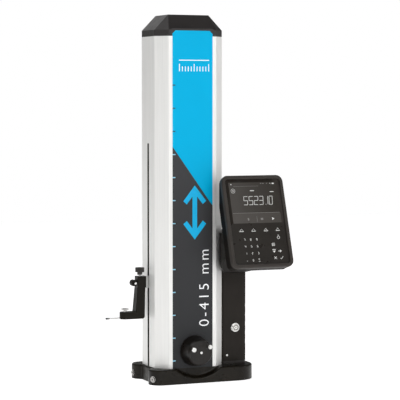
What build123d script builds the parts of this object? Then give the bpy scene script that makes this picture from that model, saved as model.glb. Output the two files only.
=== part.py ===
from build123d import *
import os
from math import cos, radians, sin

# Electronic height gauge for a surface plate: a cast base that floats on air while it is moved,
# a chamfered column whose carriage is driven up and down by a handwheel and a steel band,
# a probe arm that comes out through the column's slot, and a tilting display on a grip pillar.
# Millimetres. +Z is up, +X points from the probe to the grip, -Y faces the user.
# The origin is on the base's lapped underside, on the column's axis.

# ---------------------------------------------------------------- driving sizes
column_width = 160.0          # X
column_depth = 122.5          # Y
column_length = 723.0
column_chamfer = 24.0
column_wall = 5.0
column_edge_radius = 2.5
least_radius = 1.0            # of an inset rounded corner
cut_margin = 1.0              # how far a cut runs past the face it opens
dome_share = 0.8              # share of a low dome's height that its edge rounds away
boss_radius = 6.5             # screw bosses in the four corners of the extrusion
boss_inset_x = 18.0
boss_inset_y = 18.75
column_screw_radius = 3.0
column_screw_length = 34.0
column_head_radius = 5.2
column_head_height = 6.0
column_head_sink = 9.0

cap_height = 47.0
cap_skirt = 13.6
cap_run_side = 32.5           # how far the side slopes run in
cap_run_front = 24.0          # how far the front and back slopes run in
cap_plug_depth = 14.0
cap_plug_wall = 4.0
cap_plug_gap = 0.1
cap_screw_radius = 2.0
cap_screw_length = 8.0
cap_head_radius = 3.6
cap_head_height = 2.4
cap_screw_spacing = 80.0

slot_end_margin = 15.0       # slot above the link at the top of its travel
seal_gap = 0.2                # between the link and the two rubber lips beside it
seal_lip = 1.1                # rubber that lines each side of the slot
seal_lip_sink = 0.3           # lips behind the column's outer face
seal_thickness = 2.0
seal_width = 9.0              # flange inside the column

label_width = 94.6
label_thickness = 1.2
label_into_cap = 12.0
label_corner = 7.0
frame_top = 5.5               # raised frame round the label's upper end
frame_corner = 9.0
frame_depth = 6.0
frame_chamfer = 1.0

base_height = 33.0
base_depth = 152.0            # Y
base_right_reach = 153.0
base_right_radius = 48.0
base_edge_radius = 4.0
foot_radius = 25.25           # the two round feet beside the probe
foot_reach = 98.3
notch_floor_gap = 1.0         # flat strip of the base beside the column's measuring side
notch_corner_radius = 6.0
stud_radius = 6.8
stud_collar_height = 1.0
stud_sink = 0.9               # flat seat cut into the foot's round wall
stud_head_radius = 4.8
stud_head_height = 2.4
stud_groove_radius = 5.7      # ring groove between the collar and the head
stud_groove_depth = 0.8
stud_socket_radius = 2.5
stud_socket_depth = 1.8
stud_z = 13.0
stud_front_angle = 32.0
stud_rear_angle = 8.0
air_groove_radius = 17.0
air_groove_width = 2.0
air_groove_depth = 0.6
air_hole_radius = 1.0
air_hole_depth = 11.0

wheel_x = 4.0
wheel_z = 70.2
wheel_back_radius = 34.0
wheel_front_radius = 28.5     # where the bevel round the face begins
wheel_face_radius = 25.5
wheel_length = 36.5
wheel_bevel_length = 5.5
wheel_edge_radius = 0.8
wheel_gap = 1.0               # between the column's front and the wheel
scoop_radius = 81.0
scoop_centre_x = 9.0
scoop_centre_z = 94.0
scoop_shoulder_radius = 22.0
scoop_root_radius = 6.0       # where the scoop's floor meets the wall under the column
shaft_radius = 6.0
running_gap = 0.05            # radial, shafts in their bores
crank_offset_x = 15.0
crank_offset_z = 13.6
crank_stud_radius = 2.0
crank_length = 16.0
crank_radius = 4.7
plug_offset_x = -16.5
plug_offset_z = 7.2
plug_radius = 5.5
hub_screw_radius = 2.8
hub_screw_height = 2.0
screw_bite = 9.0              # how deep small screws and studs sit
shaft_socket = 22.0           # how far the shaft reaches into the handwheel
shaft_overhang = 2.0
plug_sink = 1.5
plug_proud = 1.6
crank_waist_radius = 3.7
crank_waist_share = 0.4       # where along its length the waist lies
crank_end_gap = 0.3
crank_cap_radius = 3.2
crank_cap_height = 1.2

band_pitch_radius = 15.0      # of the drive and idler pulleys
band_thickness = 1.0
band_width = 12.0
band_gap = 0.15               # between the band and what runs along it
pulley_flange_radius = 16.5
pulley_side_gap = 0.5
pulley_flange_thickness = 1.5
idler_drop = 38.0             # idler's axle below the head plate
idler_axle_radius = 4.0
idler_cheek_thickness = 4.0
idler_cheek_width = 24.0
axle_overhang = 1.0

plate_width = 100.0
foot_plate_thickness = 12.0
head_plate_thickness = 12.0
head_plate_drop = 16.0        # head plate's top below the column's top
rail_size = 20.0
rail_x = -38.0
rail_chamfer = 1.5
collar_height = 7.0
collar_wall = 6.0
rod_radius = 5.0
rod_x = 42.0
bearing_radius = 12.9
bearing_flange_radius = 22.0
bearing_flange_thickness = 6.0
bearing_length = 26.0
bearing_screw_radius = 1.6
bearing_screw_circle = 18.0
bearing_screw_bite = 3.0
bearing_head_radius = 2.9
bearing_head_height = 2.6
bearing_nose = 0.5            # how far the bearing stands out of the column's front
pillow_width = 28.0
pillow_thickness = 12.0
pillow_gap = 4.5              # between the drive pulley and the pillow block

travel_down = 139.0           # carriage, from its rest height
travel_up = 276.0
carriage_end_gap = 5.0        # carriage above the foot plate's collar, at the bottom of its travel
carriage_height = 60.0
carriage_width = 46.0         # X
carriage_depth = 52.0         # Y
carriage_rail_gap = 1.0
bush_wall = 3.0
bush_height = 9.0
slide_gap = 0.1
scale_width = 12.0
scale_thickness = 2.5
scale_margin = 14.0           # scale past the reading head at both ends
scale_gap = 0.5
head_chamfer = 2.0
head_width = 20.0             # reading head over the scale
head_height = 20.0
clamp_height = 20.0
clamp_length = 8.4
clamp_depth = 24.0

link_thickness = 7.0
link_height = 26.0
link_drop = 0.5               # link's top below the arm block's top
arm_gap = 8.5                 # arm block to the column's measuring side
arm_block_width = 20.1
arm_block_height = 24.5
arm_rise = 36.5               # arm block's top above the carriage's underside
arm_width_top = 18.8
arm_width_foot = 21.2
arm_depth_top = 20.0
arm_depth_foot = 24.0
arm_lean_top = 2.0            # how far the arm steps back under its block
arm_lean_foot = 4.0
arm_length = 53.0
arm_edge_radius = 1.5
foot_height = 15.3
foot_length = 54.0
foot_heel_step = 0.5          # foot's heel behind the arm's lower end
foot_corner_radius = 6.0
lug_radius = 7.2
lug_reach = 6.0
lug_drop = 14.5               # side clamp below the arm block's top
lug_front = 5.0
lug_back = 7.0
side_pin_radius = 3.0
side_pin_length = 9.0
side_pin_depth = 9.0
side_pin_chamfer = 0.8
pin_end_gap = 0.5
thumb_radius = 10.0
thumb_height = 10.0
thumb_neck_radius = 5.6
thumb_neck_height = 6.0
thumb_pin_radius = 3.0
thumb_pin_gap = 3.0
thumb_pin_depth = 12.0
thumb_offset = 1.6
knurl_count = 28
knurl_depth = 0.5
insert_disc_radius = 8.4
insert_disc_height = 3.6
insert_stem_radius = 3.4
insert_stem_height = 3.8
insert_pin_radius = 2.5
insert_pin_depth = 8.0
insert_seat_gap = 0.2
stylus_radius = 1.5
stylus_above_foot = 2.4
stylus_length = 31.0
stylus_held = 12.0
tip_radius = 2.5
tip_sleeve_radius = 2.1
tip_sleeve_length = 6.0

weight_width = 30.0           # counterweight, X
weight_depth = 40.0
weight_height = 90.0
weight_end_gap = 38.0         # weight above the foot plate's collar, at the bottom of its travel
weight_lug_height = 24.0
weight_lug_length = 10.0
weight_gap = 6.0              # between the band's run and the weight

pillar_width = 59.0           # X
pillar_depth = 80.0           # Y
pillar_top = 327.0
pillar_wall = 3.0
pillar_radius = 7.0
pillar_top_fillet = 2.0
pillar_seam_y = 8.0
plinth_height = 6.0
plinth_inset = 1.2
groove_count = 5
groove_pitch = 20.0
groove_low_z = 81.0
groove_radius = 14.0
groove_depth = 2.2
button_x_offset = 1.9         # from the pillar's middle
button_z = 113.5
button_radius = 7.9
button_proud = 3.0
button_travel = 2.0
button_length = 8.0
button_chamfer = 0.5
button_ring_radius = 5.0
button_ring_width = 0.8
button_ring_depth = 0.5
button_cup_wall = 2.0
button_bezel_radius = 10.4
button_bezel_height = 1.4
button_cup_radius = 9.3
button_end_gap = 7.0          # spring space behind the pressed button
lamp_x_offset = -17.8
lamp_z = 52.2
lamp_radius = 2.3
lamp_proud = 0.6
battery_width = 40.0
battery_depth = 28.0
battery_height = 62.0
battery_radius = 3.0
battery_gap = 1.0
pump_y = 18.0
pump_radius = 13.0
pump_height = 95.0
pump_neck_radius = 5.0
pump_neck_height = 12.0
inlet_radius = 5.5
inlet_pin_radius = 1.2
inlet_wall = 1.4
inlet_pin_length = 2.0
inlet_depth = 9.0
inlet_rim_radius = 7.5
inlet_rim_height = 0.8
inlet_z = 60.0
cover_screw_radius = 1.8
cover_screw_length = 9.0
cover_head_radius = 3.2
cover_head_height = 2.0
cover_screw_x = 17.0          # from the pillar's middle
cover_screw_low = 60.0
cover_screw_drop = 27.0       # upper screws below the pillar's top

display_width = 146.5
display_length = 206.7
display_thickness = 34.0      # of its lower part
display_top_depth = 13.5      # of its upper edge, where the upright back meets the top
display_radius = 15.0
display_tilt = 18.24
display_x = 120.3
display_y = -139.7            # middle of the display's front
display_rise = 29.4           # above the pillar's top
bezel_thickness = 11.0
bezel_width = 8.0
bezel_fillet = 3.0
bezel_inner_fillet = 1.2
window_recess = 4.0
window_thickness = 2.5
window_length = 99.0
pane_gap = 0.1
bezel_ledge = 2.5
shell_inset = 0.8
shell_wall = 2.5
shell_edge_radius = 1.6
post_radius = 4.5
lcd_thickness = 5.0
lcd_margin = 11.0
board_thickness = 1.6
board_depth = 20.0
board_margin = 5.0
board_top_margin = 38.0       # room for the shallow upper end
board_post_x = 80.0
board_post_y = 100.0
board_post_radius = 3.0
display_screw_radius = 2.0
display_screw_inset = 14.0
display_screw_end = 7.0       # how near the screws come to the display's front
display_upper_seat = 15.0     # depth of the upper screws' seats, sunk into the back
display_head_radius = 3.4
display_head_height = 2.0
head_hole_gap = 0.3           # round a sunk screw head

arm_left_x = 62.8             # display arm
arm_right_inset = 0.8
arm_root_y = -62.5            # back of the arm's wing in front of the column's chamfer
arm_height = 91.0
arm_belly_rise = 4.0          # underside at the wing's root, above the arm's lower end
arm_corner_radius = 28.0      # the wing's lower corner, seen from the front
hinge_y = -112.0
hinge_drop = 28.0             # hinge below the pillar's top
hinge_eye_radius = 8.5
hinge_pin_radius = 3.0
ear_width = 11.5
knuckle_gap = 0.5
arm_bridge_y = -88.0          # front of the solid web between the two ears
arm_brow_y = -84.0            # how far the arm's flat top runs out
arm_screw_radius = 2.5
arm_screw_bite = 16.0
arm_screw_head_radius = 4.3
arm_screw_head_height = 3.0
arm_screw_x = 14.0            # from the pillar's middle
arm_screw_drop = 21.0         # upper screws below the pillar's top
arm_screw_pitch = 50.0

# ---------------------------------------------------------------- derived sizes
column_bottom = base_height
column_top = column_bottom + column_length
total_height = column_top + cap_height
column_left = -column_width / 2
column_right = column_width / 2
column_front = -column_depth / 2
column_back = column_depth / 2
inner_left = column_left + column_wall
inner_front = column_front + column_wall
inner_back = column_back - column_wall
label_bottom = column_bottom
label_top = column_top + label_into_cap
boss_spots = [
    (sx * (column_right - boss_inset_x), sy * (column_back - boss_inset_y))
    for sx in (-1, 1) for sy in (-1, 1)
]
plate_top = column_bottom + foot_plate_thickness
head_plate_top = column_top - head_plate_drop
head_plate_bottom = head_plate_top - head_plate_thickness
idler_z = head_plate_bottom - idler_drop
wheel_back = column_front - wheel_gap
wheel_face = wheel_back - wheel_length
band_left = wheel_x - band_pitch_radius
band_right = wheel_x + band_pitch_radius
pulley_half = band_width / 2 + pulley_side_gap + pulley_flange_thickness
collar_top = plate_top + collar_height
carriage_z = collar_top + carriage_end_gap + travel_down
carriage_top = carriage_z + carriage_height
weight_z = collar_top + weight_end_gap + travel_up
arm_top_z = carriage_z + arm_rise
link_top = arm_top_z - link_drop
slot_width = link_thickness + 2 * (seal_gap + seal_lip)
slot_length = link_top + travel_up + slot_end_margin - column_bottom
scale_bottom = carriage_top - travel_down - scale_margin
scale_top = carriage_top + head_height + travel_up + scale_margin
lug_z = arm_top_z - lug_drop
carriage_left = rail_x - carriage_width / 2
carriage_right = rail_x + carriage_width / 2
arm_right = column_left - arm_gap
arm_left = arm_right - arm_block_width
arm_middle = (arm_left + arm_right) / 2
arm_block_bottom = arm_top_z - arm_block_height
foot_top = arm_block_bottom - arm_length
foot_bottom = foot_top - foot_height
foot_right = arm_right - arm_lean_foot - foot_heel_step
foot_left = foot_right - foot_length
foot_end_x = foot_left + arm_depth_foot / 2
pillow_front = pulley_half + pillow_gap
axle_half = pulley_half + pulley_side_gap + idler_cheek_thickness + axle_overhang
cap_screw_spots = [
    (-cap_screw_spacing / 2, column_top - cap_plug_depth / 2),
    (cap_screw_spacing / 2, column_top - cap_plug_depth / 2),
]
stylus_z = foot_bottom + stylus_above_foot
pillar_left = column_right
pillar_right = pillar_left + pillar_width
pillar_middle = (pillar_left + pillar_right) / 2
pillar_front = -pillar_depth / 2
pillar_back = pillar_depth / 2
plinth_top = base_height + plinth_height
button_x = pillar_middle + button_x_offset
button_cup_depth = button_length + button_travel + button_end_gap
lamp_x = pillar_middle + lamp_x_offset
tilt = radians(display_tilt)
arm_right_x = pillar_right - arm_right_inset
arm_low_z = pillar_top - arm_height
arm_belly_z = arm_low_z + arm_belly_rise
hinge_z = pillar_top - hinge_drop
display_z = pillar_top + display_rise
arm_screw_high = pillar_top - arm_screw_drop
arm_screw_low = arm_screw_high - arm_screw_pitch
cover_screw_high = pillar_top - cover_screw_drop
arm_screw_spots = [
    (pillar_middle + sx * arm_screw_x, z)
    for sx in (-1, 1) for z in (arm_screw_low, arm_screw_high)
]
cover_screw_spots = [
    (pillar_middle + sx * cover_screw_x, z)
    for sx in (-1, 1) for z in (cover_screw_low, cover_screw_high)
]
window_seat = window_recess + window_thickness
display_back_y = (
    display_y + display_length / 2 * sin(tilt) + display_top_depth * cos(tilt)
)


# ---------------------------------------------------------------- helpers
def front(y):
    """Plane facing the user at depth y: local x is X and local y is Z."""
    return Plane((0, y, 0), x_dir=(1, 0, 0), z_dir=(0, -1, 0))


def side(x):
    """Plane facing +X at x: local x is Y and local y is Z."""
    return Plane((x, 0, 0), x_dir=(0, 1, 0), z_dir=(1, 0, 0))


def level(z):
    """Horizontal plane at height z."""
    return Plane.XY.offset(z)


def socket_screw(radius, length, head_radius, head_height):
    """Socket head screw along Z, its head's seat at the origin and its shank below."""
    with BuildPart() as screw:
        Cylinder(radius, length, align=(Align.CENTER, Align.CENTER, Align.MAX))
        Cylinder(head_radius, head_height, align=(Align.CENTER, Align.CENTER, Align.MIN))
        with BuildSketch(Plane.XY.offset(head_height)):
            RegularPolygon(head_radius / 2, 6)
        extrude(amount=-head_height / 2, mode=Mode.SUBTRACT)
    return screw.part


def column_outline(inset):
    """The column's chamfered section, drawn inset by a wall."""
    with BuildSketch() as outline:
        Rectangle(column_width, column_depth)
        chamfer(outline.vertices(), column_chamfer)
        if inset:
            offset(amount=-inset, mode=Mode.REPLACE)
        fillet(outline.vertices(), column_edge_radius)
    return outline.sketch


def label_outline():
    """Corner points of the front label, chamfered at the top, in the front plane."""
    half = label_width / 2
    return [
        (-half, label_bottom), (half, label_bottom),
        (half, label_top - label_corner), (half - label_corner, label_top),
        (-half + label_corner, label_top), (-half, label_top - label_corner),
    ]


def save(part, name):
    """Label a finished piece and write its STEP file."""
    part.label = name
    export_step(part, f"parts/{name}.step")


os.makedirs("parts", exist_ok=True)

# ================================================================ base
foot_x = -foot_reach + foot_radius
foot_y = base_depth / 2 - foot_radius
web_left = column_left - base_edge_radius - notch_floor_gap
air_spots = [(-22.0, 46.0), (-22.0, -46.0), (112.0, 0.0)]
stud_planes = []
for sign, angle in ((-1, stud_front_angle), (1, stud_rear_angle)):
    out = Vector(-cos(radians(angle)), -sin(radians(angle)), 0)
    seat = Vector(foot_x, sign * foot_y, stud_z) + out * (foot_radius - stud_sink)
    stud_planes.append(Plane(seat, x_dir=(0, 0, 1), z_dir=out))

# what the scoop takes away: a barrel laid along Y that flares into the base's top,
# rounded where it meets the wall under the column
with BuildPart() as scoop:
    with BuildSketch(front(column_front)) as scoop_section:
        with Locations((scoop_centre_x, scoop_centre_z)):
            Circle(scoop_radius)
        with Locations((scoop_centre_x, base_height + scoop_radius)):
            Rectangle(4 * scoop_radius, 2 * scoop_radius)
        shoulders = [
            v for v in scoop_section.vertices()
            if abs(v.Z - base_height) < 0.01 and abs(v.X - scoop_centre_x) < scoop_radius
        ]
        fillet(shoulders, scoop_shoulder_radius)
    extrude(amount=base_depth)
    root = [
        e for e in scoop.edges()
        if abs(e.center().Y - column_front) < 0.01 and e.center().Z < base_height + 0.01
    ]
    fillet(ShapeList(root), scoop_root_radius)

with BuildPart() as base_casting:
    with BuildSketch(level(0)) as base_plan:
        with Locations(((foot_x + base_right_reach) / 2, 0)):
            Rectangle(base_right_reach - foot_x, base_depth)
        fillet(base_plan.vertices().group_by(Axis.X)[-1], base_right_radius)
        with Locations(((web_left + foot_x) / 2, 0)):
            Rectangle(foot_x - web_left, 2 * foot_y)
        with Locations((foot_x, foot_y), (foot_x, -foot_y)):
            Circle(foot_radius)
        inner_corners = [v for v in base_plan.vertices() if abs(v.X - web_left) < 0.01]
        fillet(inner_corners, notch_corner_radius)
    extrude(amount=base_height)
    # the scoop that leaves room for the fingers round the handwheel
    add(scoop.part, mode=Mode.SUBTRACT)
    # one soft edge all round the top, which also follows the scoop's lip
    walls = [
        f for f in base_casting.faces()
        if f.bounding_box().min.Z < 0.01 and f.bounding_box().max.Z > 0.01
    ]
    rim = [
        e for f in walls for e in f.edges()
        if e.center().Z > 1 and max(e.bounding_box().size.X, e.bounding_box().size.Y) > 0.01
    ]
    fillet(ShapeList(rim), base_edge_radius)
    # screws for the column, sunk into the underside
    with Locations(*[Location((x, y, 0), (180, 0, 0)) for x, y in boss_spots]):
        CounterBoreHole(
            column_screw_radius, column_head_radius, column_head_sink, base_height
        )
    # shallow ring grooves that spread the air under the casting
    with BuildSketch(level(0)):
        with Locations(*air_spots):
            Circle(air_groove_radius)
            Circle(air_groove_radius - air_groove_width, mode=Mode.SUBTRACT)
    extrude(amount=air_groove_depth, mode=Mode.SUBTRACT)
    with BuildSketch(level(0)):
        with Locations(*air_spots):
            Circle(air_hole_radius)
    extrude(amount=air_hole_depth, mode=Mode.SUBTRACT)
    # flat seats for the two side studs
    for plane in stud_planes:
        with BuildSketch(plane):
            Circle(stud_radius)
        extrude(amount=stud_sink * 2, mode=Mode.SUBTRACT)
save(base_casting.part, "base_casting")

with BuildPart() as foot_studs:
    for plane in stud_planes:
        collar_face = plane.offset(stud_sink + stud_collar_height)
        head_face = plane.offset(stud_sink + stud_head_height)
        with BuildSketch(plane):
            Circle(stud_radius)
        extrude(amount=stud_sink + stud_collar_height)
        with BuildSketch(collar_face):
            Circle(stud_groove_radius)
        extrude(amount=-stud_groove_depth, mode=Mode.SUBTRACT)
        with BuildSketch(plane):
            Circle(stud_head_radius)
        extrude(amount=stud_sink + stud_head_height)
        with BuildSketch(head_face):
            RegularPolygon(stud_socket_radius, 6)
        extrude(amount=-stud_socket_depth, mode=Mode.SUBTRACT)
save(foot_studs.part, "foot_studs")

with BuildPart() as column_screws:
    with Locations(*[Location((x, y, column_head_sink), (180, 0, 0)) for x, y in boss_spots]):
        add(socket_screw(
            column_screw_radius, column_screw_length, column_head_radius, column_head_height
        ))
save(column_screws.part, "column_screws")

# ================================================================ column
with BuildPart() as column:
    with BuildSketch(level(column_bottom)):
        add(column_outline(0))
        add(column_outline(column_wall), mode=Mode.SUBTRACT)
        with Locations(*boss_spots):
            Circle(boss_radius)
        with Locations(*boss_spots):
            Circle(column_screw_radius, mode=Mode.SUBTRACT)
    extrude(amount=column_length)
    # the slot that the probe's link travels in
    with BuildSketch(side(column_left)):
        with Locations((0, column_bottom + slot_length / 2)):
            Rectangle(slot_width, slot_length)
    extrude(amount=column_wall, mode=Mode.SUBTRACT)
    # the shallow bed of the front label, and the bearing's hole through it
    with BuildSketch(front(column_front)):
        with Locations((0, (label_bottom + column_top) / 2)):
            Rectangle(label_width, column_top - label_bottom)
    extrude(amount=-label_thickness, mode=Mode.SUBTRACT)
    with BuildSketch(front(column_front)):
        with Locations((wheel_x, wheel_z)):
            Circle(bearing_radius)
    extrude(amount=-column_wall, mode=Mode.SUBTRACT)
    with BuildSketch(front(inner_front)):
        with Locations((wheel_x, wheel_z)):
            with PolarLocations(bearing_screw_circle, 4, start_angle=45):
                Circle(bearing_screw_radius)
    extrude(amount=bearing_screw_bite, mode=Mode.SUBTRACT)
    with BuildSketch(front(column_back)):
        with Locations(*cap_screw_spots):
            Circle(cap_screw_radius)
    extrude(amount=column_wall, mode=Mode.SUBTRACT)
save(column.part, "column")

with BuildPart() as front_label:
    with BuildSketch(front(column_front + label_thickness)):
        with BuildLine():
            Polyline(*label_outline(), close=True)
        make_face()
        with Locations((wheel_x, wheel_z)):
            Circle(bearing_radius, mode=Mode.SUBTRACT)
    extrude(amount=label_thickness)
save(front_label.part, "front_label")

# rubber angles: a lip that lines the slot and a flange behind the wall
seal_edge = link_thickness / 2 + seal_gap
lip_left = column_left + seal_lip_sink
with BuildPart() as slot_seals:
    with BuildSketch(level(column_bottom)):
        for sign in (-1, 1):
            with Locations(((lip_left + inner_left) / 2, sign * (seal_edge + seal_lip / 2))):
                Rectangle(inner_left - lip_left, seal_lip)
            with Locations((inner_left + seal_thickness / 2, sign * (seal_edge + seal_width / 2))):
                Rectangle(seal_thickness, seal_width)
    extrude(amount=slot_length)
save(slot_seals.part, "slot_seals")

# ================================================================ cap
skirt_top = column_top + cap_skirt
with BuildPart() as top_cap:
    with BuildSketch(level(column_top)):
        add(column_outline(0))
    extrude(amount=cap_height)
    for sx in (-1, 1):
        seat = Vector(sx * column_right, 0, skirt_top)
        slope = Vector(sx * (cap_height - cap_skirt), 0, cap_run_side)
        split(bisect_by=Plane(seat, z_dir=slope), keep=Keep.BOTTOM)
    for sy in (-1, 1):
        seat = Vector(0, sy * column_back, skirt_top)
        slope = Vector(0, sy * (cap_height - cap_skirt), cap_run_front)
        split(bisect_by=Plane(seat, z_dir=slope), keep=Keep.BOTTOM)
    # flat triangles over the chamfered corners, from the skirt to the top's corners
    for sx in (-1, 1):
        for sy in (-1, 1):
            low_a = Vector(sx * column_right, sy * (column_back - column_chamfer), skirt_top)
            low_b = Vector(sx * (column_right - column_chamfer), sy * column_back, skirt_top)
            tip = Vector(
                sx * (column_right - cap_run_side), sy * (column_back - cap_run_front), total_height
            )
            slope = (low_b - low_a).cross(tip - low_a) * sx * sy
            split(bisect_by=Plane(low_a, z_dir=slope), keep=Keep.BOTTOM)
    # plug that drops into the column, cut clear of its screw bosses
    with BuildSketch(level(column_top)):
        add(column_outline(column_wall + cap_plug_gap))
        with Locations(*boss_spots):
            Circle(boss_radius + cap_plug_gap, mode=Mode.SUBTRACT)
    extrude(amount=-cap_plug_depth)
    with BuildSketch(level(column_top - cap_plug_depth)):
        add(column_outline(column_wall + cap_plug_gap + cap_plug_wall))
    extrude(amount=cap_plug_depth + cap_skirt, mode=Mode.SUBTRACT)
    # raised frame round the label's upper end, flush with the column's front
    frame_half = column_right - column_chamfer
    frame_peak = label_top + frame_top
    with BuildSketch(front(column_front)):
        with BuildLine():
            Polyline(
                (-frame_half, column_top), (frame_half, column_top),
                (frame_half, frame_peak - frame_corner), (frame_half - frame_corner, frame_peak),
                (-frame_half + frame_corner, frame_peak), (-frame_half, frame_peak - frame_corner),
                close=True
            )
        make_face()
    extrude(amount=-frame_depth)
    frame_edges = [
        e for e in top_cap.edges().filter_by_position(
            Axis.Y, column_front, column_front
        ) if e.center().Z > skirt_top + frame_chamfer
    ]
    chamfer(ShapeList(frame_edges), frame_chamfer)
    # bed of the label's upper end
    with BuildSketch(front(column_front)):
        with BuildLine():
            Polyline(*label_outline(), close=True)
        make_face()
    extrude(amount=-label_thickness, mode=Mode.SUBTRACT)
    with BuildSketch(front(column_back)):
        with Locations(*cap_screw_spots):
            Circle(cap_screw_radius)
    extrude(amount=cap_screw_length, mode=Mode.SUBTRACT)
save(top_cap.part, "top_cap")

with BuildPart() as cap_screws:
    with Locations(*[Location((x, column_back, z), (-90, 0, 0)) for x, z in cap_screw_spots]):
        add(socket_screw(cap_screw_radius, cap_screw_length, cap_head_radius, cap_head_height))
save(cap_screws.part, "cap_screws")

# ================================================================ guides inside the column
with BuildPart() as guide_foot:
    with BuildSketch(level(column_bottom)):
        Rectangle(plate_width, inner_back * 2)
    extrude(amount=foot_plate_thickness)
    with BuildSketch(level(plate_top)):
        with Locations((rail_x, 0)):
            Rectangle(rail_size + 2 * collar_wall, rail_size + 2 * collar_wall)
            Rectangle(rail_size, rail_size, mode=Mode.SUBTRACT)
        with Locations((rod_x, 0)):
            Circle(rod_radius + collar_wall)
            Circle(rod_radius, mode=Mode.SUBTRACT)
    extrude(amount=collar_height)
    # pillow block behind the drive pulley
    with BuildSketch(front(pillow_front + pillow_thickness)):
        with Locations((wheel_x, (plate_top + wheel_z) / 2)):
            Rectangle(pillow_width, wheel_z - plate_top)
        with Locations((wheel_x, wheel_z)):
            Circle(pillow_width / 2)
            Circle(shaft_radius + running_gap, mode=Mode.SUBTRACT)
    extrude(amount=pillow_thickness)
save(guide_foot.part, "guide_foot")

with BuildPart() as guide_head:
    with BuildSketch(level(head_plate_bottom)):
        Rectangle(plate_width, inner_back * 2)
    extrude(amount=head_plate_thickness)
    # the idler's two cheeks hang from the plate
    for y in (pulley_half + pulley_side_gap + idler_cheek_thickness, -pulley_half - pulley_side_gap):
        with BuildSketch(front(y)):
            with Locations((wheel_x, (head_plate_bottom + idler_z) / 2)):
                Rectangle(idler_cheek_width, head_plate_bottom - idler_z)
            with Locations((wheel_x, idler_z)):
                Circle(idler_cheek_width / 2)
                Circle(idler_axle_radius, mode=Mode.SUBTRACT)
        extrude(amount=idler_cheek_thickness)
save(guide_head.part, "guide_head")

with BuildPart() as guide_rail:
    with BuildSketch(level(plate_top)) as rail_section:
        with Locations((rail_x, 0)):
            Rectangle(rail_size, rail_size)
        chamfer(rail_section.vertices(), rail_chamfer)
    extrude(amount=head_plate_bottom - plate_top)
save(guide_rail.part, "guide_rail")

with BuildPart() as scale_strip:
    with BuildSketch(level(scale_bottom)):
        with Locations((rail_x, (rail_size + scale_thickness) / 2)):
            Rectangle(scale_width, scale_thickness)
    extrude(amount=scale_top - scale_bottom)
save(scale_strip.part, "scale_strip")

with BuildPart() as weight_rod:
    with BuildSketch(level(plate_top)):
        with Locations((rod_x, 0)):
            Circle(rod_radius)
    extrude(amount=head_plate_bottom - plate_top)
save(weight_rod.part, "weight_rod")

with BuildPart() as shaft_bearing:
    with BuildSketch(front(inner_front + bearing_length)):
        with Locations((wheel_x, wheel_z)):
            Circle(bearing_radius)
    extrude(amount=bearing_length + column_wall + bearing_nose)
    with BuildSketch(front(inner_front + bearing_flange_thickness)):
        with Locations((wheel_x, wheel_z)):
            Circle(bearing_flange_radius)
            with PolarLocations(bearing_screw_circle, 4, start_angle=45):
                Circle(bearing_screw_radius, mode=Mode.SUBTRACT)
    extrude(amount=bearing_flange_thickness)
    with BuildSketch(front(inner_front + bearing_length)):
        with Locations((wheel_x, wheel_z)):
            Circle(shaft_radius + running_gap)
    extrude(amount=bearing_length + column_wall + bearing_nose, mode=Mode.SUBTRACT)
save(shaft_bearing.part, "shaft_bearing")

with BuildPart() as bearing_screws:
    with Locations(Plane((wheel_x, inner_front + bearing_flange_thickness, wheel_z), z_dir=(0, 1, 0))):
        with PolarLocations(bearing_screw_circle, 4, start_angle=45):
            add(socket_screw(
                bearing_screw_radius, bearing_flange_thickness + bearing_screw_bite,
                bearing_head_radius, bearing_head_height
            ))
save(bearing_screws.part, "bearing_screws")

with BuildPart() as idler_axle:
    with BuildSketch(front(axle_half)):
        with Locations((wheel_x, idler_z)):
            Circle(idler_axle_radius)
    extrude(amount=2 * axle_half)
save(idler_axle.part, "idler_axle")

with BuildPart() as drive_band:
    with BuildSketch(front(band_width / 2)):
        with Locations((wheel_x, (wheel_z + idler_z) / 2)):
            SlotCenterToCenter(idler_z - wheel_z, 2 * band_pitch_radius + band_thickness, rotation=90)
            SlotCenterToCenter(
                idler_z - wheel_z, 2 * band_pitch_radius - band_thickness, rotation=90,
                mode=Mode.SUBTRACT
            )
    extrude(amount=band_width)
save(drive_band.part, "drive_band")


def band_pulley(z, bore_radius):
    """Flanged pulley for the steel band, centred on the band's plane."""
    with BuildPart() as pulley:
        with BuildSketch(front(pulley_half)):
            with Locations((wheel_x, z)):
                Circle(pulley_flange_radius)
        extrude(amount=2 * pulley_half)
        with BuildSketch(front(pulley_half - pulley_flange_thickness)):
            with Locations((wheel_x, z)):
                Circle(pulley_flange_radius)
                Circle(band_pitch_radius - band_thickness / 2 - running_gap, mode=Mode.SUBTRACT)
        extrude(amount=2 * (pulley_half - pulley_flange_thickness), mode=Mode.SUBTRACT)
        with BuildSketch(front(pulley_half)):
            with Locations((wheel_x, z)):
                Circle(bore_radius)
        extrude(amount=2 * pulley_half, mode=Mode.SUBTRACT)
    return pulley.part


save(band_pulley(idler_z, idler_axle_radius + running_gap), "idler_pulley")
save(band_pulley(wheel_z, shaft_radius), "drive_pulley")

# ================================================================ handwheel
wheel_axis = Axis((wheel_x, 0, wheel_z), (0, -1, 0))
crank_x = wheel_x + crank_offset_x
crank_z = wheel_z + crank_offset_z
plug_x = wheel_x + plug_offset_x
plug_z = wheel_z + plug_offset_z

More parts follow.
